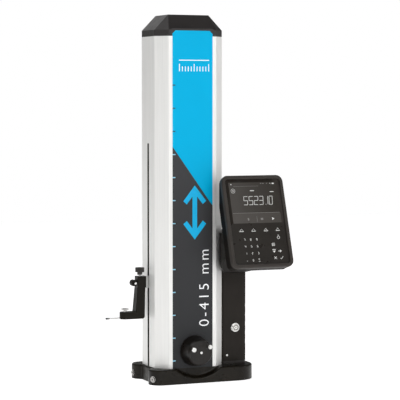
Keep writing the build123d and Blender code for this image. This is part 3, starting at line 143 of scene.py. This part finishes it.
def studio():
    bpy.context.scene.view_settings.view_transform = "Standard"
    world = bpy.data.worlds.new("studio")
    bpy.context.scene.world = world
    world.use_nodes = True
    back = world.node_tree.nodes["Background"].inputs
    back["Color"].default_value = (1.0, 1.0, 1.0, 1)
    back["Strength"].default_value = WORLD_GLOW
    x, y = FLOOR_X, FLOOR_Y
    sheet_object("floor", [(-x, -y, 0), (x, -y, 0), (x, y, 0), (-x, y, 0)], floor_material())
    paper = wall_material()
    back_left, back_right, near_left, near_right = (-x, WALL_BACK), (x, WALL_BACK), (-x, -y), (x, -y)
    wall("backdrop", back_left, back_right, paper)
    # the other three walls are only there to be seen behind the part, and hold back no light
    for name, a, b in (
        ("backdrop_left", back_left, near_left),
        ("backdrop_near", near_left, near_right),
        ("backdrop_right", near_right, back_right),
    ):
        wall(name, a, b, paper).visible_shadow = False
    for light in LIGHTS:
        area_light(*light)


# ---------------------------------------------------------------- materials
class Surface:
    """A Principled material with procedural colour, roughness and relief in the part's own frame."""

    def __init__(self, name, colour, roughness, metallic=0.0, specular=0.5, coat=0.0, coat_roughness=0.1):
        self.material = bpy.data.materials.new(name)
        self.material.use_nodes = True
        self.tree = self.material.node_tree
        self.shader = self.tree.nodes["Principled BSDF"]
        self.colour = colour
        self.set("Base Color", (*colour, 1))
        self.set("Roughness", roughness)
        self.set("Metallic", metallic)
        self.set("Specular IOR Level", specular)
        self.set("Coat Weight", coat)
        self.set("Coat Roughness", coat_roughness)
        self.place = self.node("ShaderNodeTexCoord").outputs["Object"]
        self.relief = None

    def set(self, socket, value):
        self.shader.inputs[socket].default_value = value

    def node(self, kind, **values):
        made = self.tree.nodes.new(kind)
        for key, value in values.items():
            setattr(made, key, value)
        return made

    def link(self, a, b):
        self.tree.links.new(a, b)

    def feed(self, socket, value):
        """A socket's input: a number or a colour set on it, or else another node's output."""
        if isinstance(value, (int, float)):
            socket.default_value = value
        elif isinstance(value, tuple):
            socket.default_value = (*value, 1)
        else:
            self.link(value, socket)

    def noise(self, scale, detail=3.0, stretch=(1, 1, 1)):
        """Noise over the surface; scale is in cells per metre, and stretch thins it along an axis."""
        mapping = self.node("ShaderNodeMapping")
        mapping.inputs["Scale"].default_value = stretch
        self.link(self.place, mapping.inputs["Vector"])
        made = self.node("ShaderNodeTexNoise")
        made.inputs["Scale"].default_value = scale
        made.inputs["Detail"].default_value = detail
        made.inputs["Roughness"].default_value = 0.55
        self.link(mapping.outputs["Vector"], made.inputs["Vector"])
        return made.outputs["Fac"]

    def spread(self, source, low, high, start=0.3, stop=0.7):
        """The source's span from start to stop, mapped to low and high."""
        made = self.node("ShaderNodeMapRange")
        made.inputs["From Min"].default_value = start
        made.inputs["From Max"].default_value = stop
        made.inputs["To Min"].default_value = low
        made.inputs["To Max"].default_value = high
        self.link(source, made.inputs["Value"])
        return made.outputs["Result"]

    def tone(self, source, darker, lighter):
        """Colour that drifts between two shades of the base colour with a noise."""
        ramp = self.node("ShaderNodeValToRGB")
        first, last = ramp.color_ramp.elements
        first.position, last.position = 0.32, 0.68
        first.color = (*[c * darker for c in self.colour], 1)
        last.color = (*[min(c * lighter, 1) for c in self.colour], 1)
        self.link(source, ramp.inputs["Fac"])
        return ramp.outputs["Color"]

    def paint(self, colour):
        self.link(colour, self.shader.inputs["Base Color"])

    def gloss(self, source, low, high):
        self.link(self.spread(source, low, high), self.shader.inputs["Roughness"])

    def bump(self, source, height, strength=1.0):
        """Relief of that height in metres, on top of the relief already there."""
        made = self.node("ShaderNodeBump")
        made.inputs["Distance"].default_value = height
        made.inputs["Strength"].default_value = strength
        self.link(source, made.inputs["Height"])
        if self.relief is not None:
            self.link(self.relief, made.inputs["Normal"])
        self.relief = made.outputs["Normal"]
        self.link(self.relief, self.shader.inputs["Normal"])

    def split(self):
        made = self.node("ShaderNodeSeparateXYZ")
        self.link(self.place, made.inputs[0])
        return made.outputs

    def calc(self, operation, a, b=0.0):
        made = self.node("ShaderNodeMath", operation=operation)
        self.feed(made.inputs[0], a)
        self.feed(made.inputs[1], b)
        return made.outputs[0]

    def mix(self, factor, a, b):
        made = self.node("ShaderNodeMix", data_type="RGBA")
        self.feed(made.inputs["Factor"], factor)
        for key, value in (("A", a), ("B", b)):
            self.feed([s for s in made.inputs if s.name == key and s.type == "RGBA"][0], value)
        return [s for s in made.outputs if s.type == "RGBA"][0]


def plain_surface(name, colour, roughness, drift=0.1, grain=900, depth=0.00002,
                  metallic=0.0, specular=0.5, cloud=22, swing=0.07):
    """Cloudy shade, uneven gloss and a fine grain: the base of nearly every surface."""
    made = Surface(name, colour, roughness, metallic, specular)
    made.paint(made.tone(made.noise(cloud, 4), 1 - drift, 1 + drift))
    made.gloss(made.noise(cloud * 3.1, 4), max(roughness - swing, 0.02), roughness + swing)
    made.bump(made.noise(grain, 2), depth)
    return made


def aluminium():
    """Satin anodised extrusion: bright, with faint lines along its length."""
    made = Surface("column_satin", (0.87, 0.865, 0.845), 0.42, metallic=0.25, specular=0.45)
    lines = made.noise(420, 2, stretch=(1, 1, 0.012))
    made.paint(made.tone(lines, 0.965, 1.03))
    made.gloss(made.noise(60, 4, stretch=(1, 1, 0.05)), 0.36, 0.48)
    made.bump(lines, 0.00002, 0.6)
    return made


def label_film():
    """Printed film: bright blue over dark grey, parted by a slanting edge."""
    made = Surface("label_film", (0.0, 0.44, 0.76), 0.34, specular=0.08)
    x, _, z = made.split()
    slant = made.calc("ADD", z, made.calc("MULTIPLY", x, LABEL_EDGE_SLOPE))
    dark = made.spread(slant, 1.0, 0.0, LABEL_EDGE_LEVEL - 0.3 * MM, LABEL_EDGE_LEVEL + 0.3 * MM)
    blue = made.tone(made.noise(9, 3), 0.985, 1.02)
    height = made.spread(z, 0.0, 1.0, 0.05, 0.45)
    grey = made.mix(height, (0.035, 0.036, 0.038), (0.055, 0.055, 0.058))
    made.paint(made.mix(dark, blue, grey))
    made.gloss(made.noise(45, 4), 0.30, 0.40)
    made.bump(made.noise(1300, 2), 0.000006)
    return made


def moulded(name, colour, roughness, grain=1500, depth=0.00004, specular=0.35):
    """Fine-textured black plastic."""
    made = plain_surface(name, colour, roughness, 0.10, grain, depth, specular=specular)
    made.bump(made.noise(160, 4), 0.00002)
    return made


def turned(name, colour, roughness, metallic=1.0):
    """Turned or ground metal with fine tool marks and slight stains."""
    made = plain_surface(name, colour, roughness, 0.06, 2600, 0.000008, metallic, cloud=60, swing=0.05)
    made.bump(made.noise(350, 3), 0.00001)
    return made


def steel_with_painted_rings():
    """The grip's button: ground steel with painted dark rings about its axis, at its groove and at its
    centre: painted shade and dark reflection of a turned button.
    """
    made = turned("button_steel", (0.76, 0.75, 0.72), 0.28)
    x, _, z = made.split()
    side = made.calc("POWER", made.calc("SUBTRACT", x, BUTTON_X), 2.0)
    rise = made.calc("POWER", made.calc("SUBTRACT", z, BUTTON_Z), 2.0)
    radius = made.calc("POWER", made.calc("ADD", side, rise), 0.5)

    def near(distance, inner, outer):
        off = made.calc("ABSOLUTE", made.calc("SUBTRACT", radius, distance * MM))
        return made.spread(off, 1, 0, inner * MM, outer * MM)

    # painted shade and reflection: a dark ring at the groove and a dark centre, mixed into the steel's
    # colour
    painted_groove_shade, painted_dark_centre = near(5.2, 0.6, 1.5), near(0.8, 0.6, 1.4)
    painted_rings = made.calc("MAXIMUM", painted_groove_shade, made.calc("MULTIPLY", painted_dark_centre, 0.6))
    made.paint(made.mix(painted_rings, made.tone(made.noise(60, 4), 0.94, 1.06), (0.17, 0.162, 0.145)))
    return made


def lacquer():
    """Black gloss lacquer on a casting: waves and a slight orange peel under it, and a cloudy lighter and
    darker tone that is painted reflection, uneven soft reflections laid into its colour.
    """
    colour = (0.0085, 0.0066, 0.0042)
    made = Surface("base_lacquer", colour, 0.30, specular=0.14, coat=0.08, coat_roughness=0.16)
    # painted reflection: a cloudy lighter and darker colour standing for uneven soft reflections
    made.paint(made.tone(made.noise(30, 5), 0.70, 1.6))
    made.gloss(made.noise(55, 5), 0.20, 0.44)
    made.bump(made.noise(38, 3), 0.00060, 0.5)
    made.bump(made.noise(260, 3), 0.00010, 0.5)
    made.bump(made.noise(1600, 2), 0.00002, 0.6)
    return made


def knurled():
    """The thumb head's black oxide over a fine knurl."""
    colour = (0.026, 0.022, 0.020)
    made = plain_surface("knurled_black", colour, 0.38, 0.2, 1500, 0.00003, specular=0.45)
    made.bump(made.noise(700, 1, stretch=(1, 1, 0.4)), 0.0004)
    return made


def lit_screen(made, tint):
    """The pane's tint, with the screen's area a shade lighter and its foot band; painted light makes the
    screen lighter at its left, falling off to its right, and carries the falloff's right-end tone onto the
    pane beyond the screen's right.
    """
    x, y, z = made.split()
    up = made.calc("ADD", made.calc("MULTIPLY", y, DISPLAY_UP[1]), made.calc("MULTIPLY", z, DISPLAY_UP[2]))
    up = made.calc("SUBTRACT", up, DISPLAY_ORIGIN.dot(DISPLAY_UP))
    across = made.calc("SUBTRACT", x, DISPLAY_ORIGIN.x + SCREEN_SHIFT)
    side = made.calc("ABSOLUTE", across)
    soft = 0.2 * MM
    in_width = made.spread(side, 1, 0, SCREEN_HALF, SCREEN_HALF + 2 * soft)
    over_foot = made.spread(up, 0, 1, SCREEN_LOW - soft, SCREEN_LOW + soft)
    under_top = made.spread(up, 1, 0, SCREEN_TOP - soft, SCREEN_TOP + soft)
    inside = made.calc("MULTIPLY", made.calc("MULTIPLY", in_width, over_foot), under_top)
    band = made.spread(up, 1, 0, SCREEN_FOOT - 1.5 * soft, SCREEN_FOOT + 1.5 * soft)
    foot = made.calc("MULTIPLY", inside, band)
    # painted light: the screen lighter at its left, falling off to its right
    painted_falloff = made.spread(across, 0, 1, -50 * MM, 45 * MM)
    glow = made.mix(painted_falloff, (0.072, 0.066, 0.060), (0.040, 0.035, 0.030))
    # the painted falloff's right-end tone, spread over the pane beyond the screen's right
    painted_falloff_right_band = made.mix(made.spread(across, 0, 1, 45 * MM, SCREEN_HALF), tint, (0.040, 0.034, 0.030))
    lit = made.mix(inside, painted_falloff_right_band, glow)
    return made.mix(made.calc("MULTIPLY", foot, 0.5), lit, (0.105, 0.096, 0.088))


def pane(name, colour, roughness, screen=False):
    """Front pane of the display."""
    made = Surface(name, colour, roughness, specular=0.25, coat=0.15, coat_roughness=0.06)
    tint = made.tone(made.noise(26, 4), 0.93, 1.07)
    made.paint(lit_screen(made, tint) if screen else tint)
    made.gloss(made.noise(70, 4), roughness - 0.04, roughness + 0.08)
    made.bump(made.noise(900, 2), 0.000004)
    return made


def print_ink(name, colour, glow=0.0):
    """Printed or lit markings, a little uneven like screen print; a glow given to printed markings is
    painted glow.
    """
    made = plain_surface(name, colour, 0.5, 0.05, 2400, 0.000004, specular=0.3, cloud=300)
    if glow:
        made.set("Emission Color", (*colour, 1))
        made.set("Emission Strength", glow)
    return made


# ---------------------------------------------------------------- flat prints
def display_point(u, v, rise=0.0):
    """A point on the pane, u to the right and v up in millimetres from its middle."""
    return DISPLAY_ORIGIN + Vector((u * MM, 0, 0)) + DISPLAY_UP * (v * MM) + DISPLAY_NORMAL * (rise * MM)


def label_point(u, v, rise=0.0):
    """A point on the label, u to the right of the column's middle and v above the table."""
    return Vector((u * MM, LABEL_FRONT - rise * MM, v * MM))


def print_object(name, mesh, body, surface):
    """A finished print mesh as an object of its own that rides on a body in a slot."""
    mesh.materials.clear()
    mesh.materials.append(surface.material)
    obj = link(bpy.data.objects.new(name, mesh))
    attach(obj, body)


def flat_prints(name, outlines, place, body, surface):
    """Thin printed shapes: each outline, in millimetres on a plane, becomes a closed low prism."""
    bm = bmesh.new()
    for outline in outlines:
        area = sum(a[0] * b[1] - b[0] * a[1] for a, b in zip(outline, outline[1:] + outline[:1]))
        if area < 0:
            outline = outline[::-1]
        low = [bm.verts.new(place(u, v, PRINT_RISE)) for u, v in outline]
        top = [bm.verts.new(place(u, v, PRINT_RISE + PRINT_THICK)) for u, v in outline]
        bm.faces.new(top)
        bm.faces.new(low[::-1])
        for i in range(len(outline)):
            j = (i + 1) % len(outline)
            bm.faces.new((low[i], low[j], top[j], top[i]))
    mesh = bpy.data.meshes.new(name)
    bm.to_mesh(mesh)
    bm.free()
    print_object(name, mesh, body, surface)


def font_print(name, words, size, place, body, surface):
    """Thin printed characters in Blender's own font, closed low prisms like the other prints."""
    curve = bpy.data.curves.new(name, "FONT")
    curve.body = words
    curve.size = size * MM
    curve.space_character = 1.27
    curve.offset = -0.28 * MM
    curve.extrude = PRINT_THICK / 2 * MM
    curve.resolution_u = 6
    source = bpy.data.objects.new(name + "_source", curve)
    mesh = bpy.data.meshes.new_from_object(source)
    bpy.data.objects.remove(source)
    bm = bmesh.new()
    bm.from_mesh(mesh)
    bmesh.ops.remove_doubles(bm, verts=bm.verts, dist=0.01 * MM)
    # the font's own filling holds faces of no area, which turning their edges clears
    bmesh.ops.triangulate(bm, faces=bm.faces)
    caps = {f for f in bm.faces if max(v.co.z for v in f.verts) - min(v.co.z for v in f.verts) < 1e-7}
    inner = [e for e in bm.edges if len(e.link_faces) == 2 and all(f in caps for f in e.link_faces)]
    bmesh.ops.beautify_fill(bm, faces=list(caps), edges=inner)
    bmesh.ops.translate(bm, vec=(0, 0, (PRINT_RISE + PRINT_THICK / 2) * MM), verts=bm.verts)
    bmesh.ops.transform(bm, matrix=place, verts=bm.verts)
    bmesh.ops.recalc_face_normals(bm, faces=bm.faces)
    bm.to_mesh(mesh)
    bm.free()
    print_object(name, mesh, body, surface)


def bar(u, v, w, h):
    """An upright rectangle about (u, v)."""
    return [(u - w / 2, v - h / 2), (u + w / 2, v - h / 2), (u + w / 2, v + h / 2), (u - w / 2, v + h / 2)]


def stroke(a, b, width):
    """A straight stroke between two points, as a thin quadrilateral."""
    ax, ay = a
    bx, by = b
    length = math.hypot(bx - ax, by - ay)
    nx, ny = -(by - ay) / length * width / 2, (bx - ax) / length * width / 2
    return [(ax + nx, ay + ny), (ax - nx, ay - ny), (bx - nx, by - ny), (bx + nx, by + ny)]


def strokes(pairs, width):
    return [stroke(a, b, width) for a, b in pairs]


def ring(u, v, radius, width, steps=20):
    """A ring as short quadrilaterals that stand a hair apart, so that each is a closed solid of its own."""
    step = 2 * math.pi / steps
    inner = radius - width
    quads = []
    for i in range(steps):
        a, b = (i + 0.01) * step, (i + 0.99) * step
        quads.append([(u + math.cos(angle) * r, v + math.sin(angle) * r)
                      for angle, r in ((a, radius), (b, radius), (b, inner), (a, inner))])
    return quads


SEGMENTS = {
    "0": "abcdef", "1": "bc", "2": "abged", "3": "abgcd", "4": "fgbc", "5": "afgcd",
    "6": "afgedc", "7": "abc", "8": "abcdefg", "9": "abcdfg",
}


def digit(character, u, v, w, h, width, slant=0.0):
    """A seven-segment digit whose lower left corner is at (u, v); its segments stand a hair apart."""
    corners = {
        "a": ((0, h), (w, h)), "b": ((w, h), (w, h / 2)), "c": ((w, h / 2), (w, 0)),
        "d": ((0, 0), (w, 0)), "e": ((0, h / 2), (0, 0)), "f": ((0, h), (0, h / 2)),
        "g": ((0, h / 2), (w, h / 2)),
    }

    def between(a, b, share):
        x, y = (p * (1 - share) + q * share for p, q in zip(a, b))
        return u + x + slant * y, v + y

    ends = [corners[key] for key in SEGMENTS[character]]
    return [stroke(between(a, b, 0.01), between(a, b, 0.99), width) for a, b in ends]


# ---------------------------------------------------------------- markings on the column's label
TICK_LEFT, TICK_LENGTH, TICK_HEIGHT = -47.3, 6.8, 2.2
HEAD_LEFT, HEAD_STEP, HEAD_COUNT, HEAD_FOOT = -31, 6.9, 11, 680
HEIGHT_ARROW = [
    (5, 432), (32, 398), (24, 391), (10.5, 408), (10.5, 338), (24, 355), (32, 348), (5, 314),
    (-22, 348), (-14, 355), (-0.5, 338), (-0.5, 408), (-14, 391), (-22, 398),
]
RANGE_WORDS, RANGE_SIZE, RANGE_BASELINE, RANGE_START = "0-415 mm", 33.6, 38.3, 122.0


def label_marks():
    def marks(name, outlines, ink):
        flat_prints(name, outlines, label_point, "frame", ink)

    dark = print_ink("ink_dark_grey", (0.03, 0.05, 0.07))
    pale = print_ink("ink_pale_blue", (0.30, 0.62, 0.80))
    # this white print glows a little: a painted glow, as the label is no lamp
    white = print_ink("ink_white_painted_glow", (0.92, 0.93, 0.94), 0.12)
    blue = print_ink("ink_blue", (0.0, 0.47, 0.84))
    for name, levels, ink in (
        ("label_ticks_upper", range(550, 700, 50), dark), ("label_ticks_lower", range(50, 520, 50), pale),
    ):
        middle = TICK_LEFT + TICK_LENGTH / 2
        marks(name, [bar(middle, z, TICK_LENGTH, TICK_HEIGHT) for z in levels], ink)
    # a plain row of graduation strokes at the head of the label, each fifth one longer, under a line
    head = []
    for i in range(HEAD_COUNT):
        half = 8 if i % 5 == 0 else 5.2
        head.append(bar(HEAD_LEFT + HEAD_STEP * i, HEAD_FOOT + half, 1.8, 2 * half))
    head.append(bar(3.5, 704, 70.8, 1.8))
    marks("label_head_strokes", head, white)
    # a double arrow up and down, for a height
    marks("label_height_arrow", [HEIGHT_ARROW], blue)
    # the measuring range in plain numbers, written up the label
    up_the_label = Matrix((
        (0, -1, 0, RANGE_BASELINE * MM), (0, 0, -1, LABEL_FRONT), (1, 0, 0, RANGE_START * MM), (0, 0, 0, 1),
    ))
    font_print("label_range_numbers", RANGE_WORDS, RANGE_SIZE, up_the_label, "frame", white)


# ---------------------------------------------------------------- markings on the display
READING = ((-26.0, "5"), (-13.6, "5"), (-1.2, "2"), (11.2, "3"), (22.6, "1"))
READING_FOOT, READING_HEIGHT, READING_WIDTH = 37.6, 18.6, 1.15
KEY_COLUMN, KEY_ROW = 14.4, 15.2


def screen_marks():
    def marks(name, outlines, ink):
        flat_prints(name, outlines, display_point, "display", ink)

    # this white glows with the lit screen's marks, and its glow on the printed key signs is painted
    ink = print_ink("display_white_lit_keys_painted_glow", (0.72, 0.72, 0.70), 0.15)
    reading = print_ink("display_reading", (0.62, 0.62, 0.60), 0.12)
    dim = print_ink("display_grey", (0.20, 0.19, 0.18), 0.03)
    # the reading: plain slanted digits and a point
    value = []
    for u, character in READING:
        value += digit(character, u, READING_FOOT, 8.8, READING_HEIGHT, READING_WIDTH, 0.09)
    value += digit("0", 34.6, READING_FOOT, 7.6, READING_HEIGHT, READING_WIDTH, 0.09)
    value.append(bar(26.6, 37.8, 1.3, 1.3))
    marks("reading_digits", value, reading)
    # bright and faint status signs round it
    signs = [bar(-51.0, 83.8, 2.2, 2.2), bar(-2.8, 69.2, 9.2, 1.6), bar(44.4, 66.2, 9.2, 1.6)]
    signs += [bar(43.0, 85.0, 1.6, 1.6), bar(49.6, 84.8, 5.0, 2.5)]
    marks("screen_signs", signs, ink)
    faint = [bar(u, 85.2, 3.0, 1.4) for u in (20.5, 26, 34.8)]
    faint += [bar(0.8, 19.2, 112, 0.8), bar(-16, 79.5, 60, 0.5), bar(-20.0, 5.3, 3.4, 5.2)]
    faint += [bar(12.3, 5.3, 5.6, 4.6), bar(0.5, 5.3, 0.6, 12)]
    marks("screen_faint", faint, dim)
    marks("screen_target", ring(-48.0, 69.2, 5.0, 0.75) + ring(-48.0, 69.2, 2.2, 0.7), reading)
    marks("screen_play_sign", [[(36.8, 2.4), (42.2, 5.4), (36.8, 8.4)]], ink)
    return ink


def key_marks(ink):
    keys = []
    # hollow triangles with a heavier foot line
    for u in (-40.3, -11.6, 17.6, 46.2):
        low_a, low_b, peak = (u - 4.8, -21.8), (u + 4.8, -21.8), (u, -16.0)
        keys += [stroke(low_a, low_b, 1.2), stroke(low_b, peak, 0.6), stroke(peak, low_a, 0.6)]
    # plain digits on the number keys, then a dash and a sign change beside the nought
    for row, characters in enumerate(("789", "456", "123")):
        for column, character in enumerate(characters):
            u, v = -36.6 + KEY_COLUMN * column, -42.2 - KEY_ROW * row
            keys += digit(character, u, v, 2.0, 4.2, 0.7)
    keys += digit("0", -22.3, -88.3, 2.0, 4.2, 0.7) + [bar(-35.7, -87.2, 1.9, 0.8)]
    keys += [bar(-7.3, -83.6, 0.8, 3.6), bar(-7.3, -83.6, 3.6, 0.8), bar(-6.9, -88.6, 3.4, 0.8)]
    # a ring with a stem, a list, a funnel and an arrow
    keys += ring(45.5, -37.1, 3.4, 0.9) + strokes([((45.5, -33.4), (45.5, -30.8))], 0.9)
    keys += [bar(31.4, v, 6.6, 0.95) for v in (-49.9, -52.5, -55.1)] + [bar(28.2, -52.5, 0.9, 5.2)]
    keys += [bar(30.9, -63.8, 7.8, 1.4), [(27.4, -66.4), (34.4, -66.4), (30.9, -71.0)]]
    keys += [bar(43.0, -67.5, 4.0, 1.2), [(44.8, -70.6), (48.9, -67.5), (44.8, -64.4)]]
    # a cross and a tick
    keys += strokes([((29.2, -79.4), (35.0, -85.2)), ((29.2, -85.2), (35.0, -79.4))], 0.95)
    keys += strokes([((43.8, -82.8), (45.9, -85.2)), ((45.9, -85.2), (50.6, -79.4))], 0.95)
    # the printed key signs glow with the screen's white: a painted glow
    flat_prints("key_signs", keys, display_point, "display", ink)


# ---------------------------------------------------------------- materials onto the CAD nodes
def surfaces():
    """The material of each CAD node, by name."""
    grip = moulded("grip_black", (0.0120, 0.0088, 0.0062), 0.52, 1400, 0.00006, 0.2)
    made = {
        "column": aluminium(),
        "front_label": label_film(),
        "base_casting": lacquer(),
        "foot_studs": turned("stud_steel", (0.36, 0.35, 0.34), 0.20),
        "thumb_head": knurled(),
        "air_button": steel_with_painted_rings(),
        "top_cap": moulded("cap_black", (0.0250, 0.0220, 0.0212), 0.46, specular=0.38),
        "pillar_plinth": moulded("plinth_black", (0.022, 0.019, 0.017), 0.42, specular=0.4),
        "grip_front": grip,
        "grip_rear": grip,
        "charger_inlet": moulded("inlet_black", (0.018, 0.018, 0.018), 0.5),
        "display_shell": moulded("shell_black", (0.0064, 0.0046, 0.0032), 0.55, specular=0.10),
        "display_bezel": moulded("bezel_soft_black", (0.042, 0.0360, 0.0315), 0.55, 1800, 0.00003, 0.24),
        "display_window": pane("window_tinted", (0.0165, 0.0130, 0.0100), 0.16, True),
        "keypad": pane("keypad_film", (0.0165, 0.0130, 0.0100), 0.30),
        "lcd_module": moulded("lcd_body", (0.03, 0.03, 0.03), 0.5),
        "main_board": plain_surface("board_green", (0.01, 0.10, 0.04), 0.35, 0.1, 500, 0.00005),
        "display_arm": plain_surface(
            "display_arm_black", (0.0072, 0.0056, 0.0042), 0.42, 0.15, 1500, 0.00003, specular=0.2),
        "handwheel": plain_surface(
            "wheel_black", (0.0070, 0.0050, 0.0036), 0.34, 0.25, 1900, 0.00003, specular=0.34),
        "slot_seals": moulded("seal_rubber", (0.016, 0.014, 0.013), 0.75, 700, 0.00006, 0.2),
        "status_lamp": print_ink("lamp_white", (0.72, 0.71, 0.69), 0.12),
        "scale_strip": turned("scale_glass", (0.55, 0.56, 0.52), 0.15, 0.2),
        "battery_pack": plain_surface("battery_wrap", (0.03, 0.08, 0.20), 0.4, 0.1, 300, 0.0001),
        "stylus_tip": turned("tip_carbide", (0.20, 0.20, 0.20), 0.22),
    }
    arm = plain_surface(
        "arm_black_anodised", (0.0062, 0.0046, 0.0022), 0.40, 0.18, 1700, 0.00002, specular=0.16)
    casting = plain_surface("raw_casting", (0.12, 0.12, 0.12), 0.62, 0.2, 420, 0.0002, metallic=0.5)
    for surface, names in (
        (turned("polished_chrome", (0.66, 0.655, 0.64), 0.16),
         "wheel_plug hub_screw crank_stud crank_spinner side_clamp button_bezel"),
        (turned("ground_steel", (0.62, 0.61, 0.60), 0.28),
         "guide_rail weight_rod idler_axle drive_band handwheel_shaft hinge_pin stylus "
         "thumb_screw insert_clamp"),
        (turned("black_oxide", (0.07, 0.07, 0.072), 0.42, 0.8),
         "column_screws cap_screws bearing_screws cover_screws arm_screws display_screws"),
        (turned("machined_alloy", (0.55, 0.55, 0.54), 0.38),
         "idler_pulley drive_pulley carriage_block band_clamp slot_link air_pump"),
        (turned("bearing_bronze", (0.45, 0.30, 0.16), 0.33), "shaft_bearing rail_bushes"),
        (casting, "guide_foot guide_head counterweight"),
        (arm, "probe_arm reading_head"),
    ):
        made.update((name, surface) for name in names.split())
    return made


def dress():
    made = surfaces()
    for name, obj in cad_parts.items():
        material = made[name].material
        if obj.material_slots:
            for entry in obj.material_slots:
                entry.material = material
        else:
            obj.data.materials.append(material)


make_camera()
studio()
dress()
label_marks()
key_marks(screen_marks())
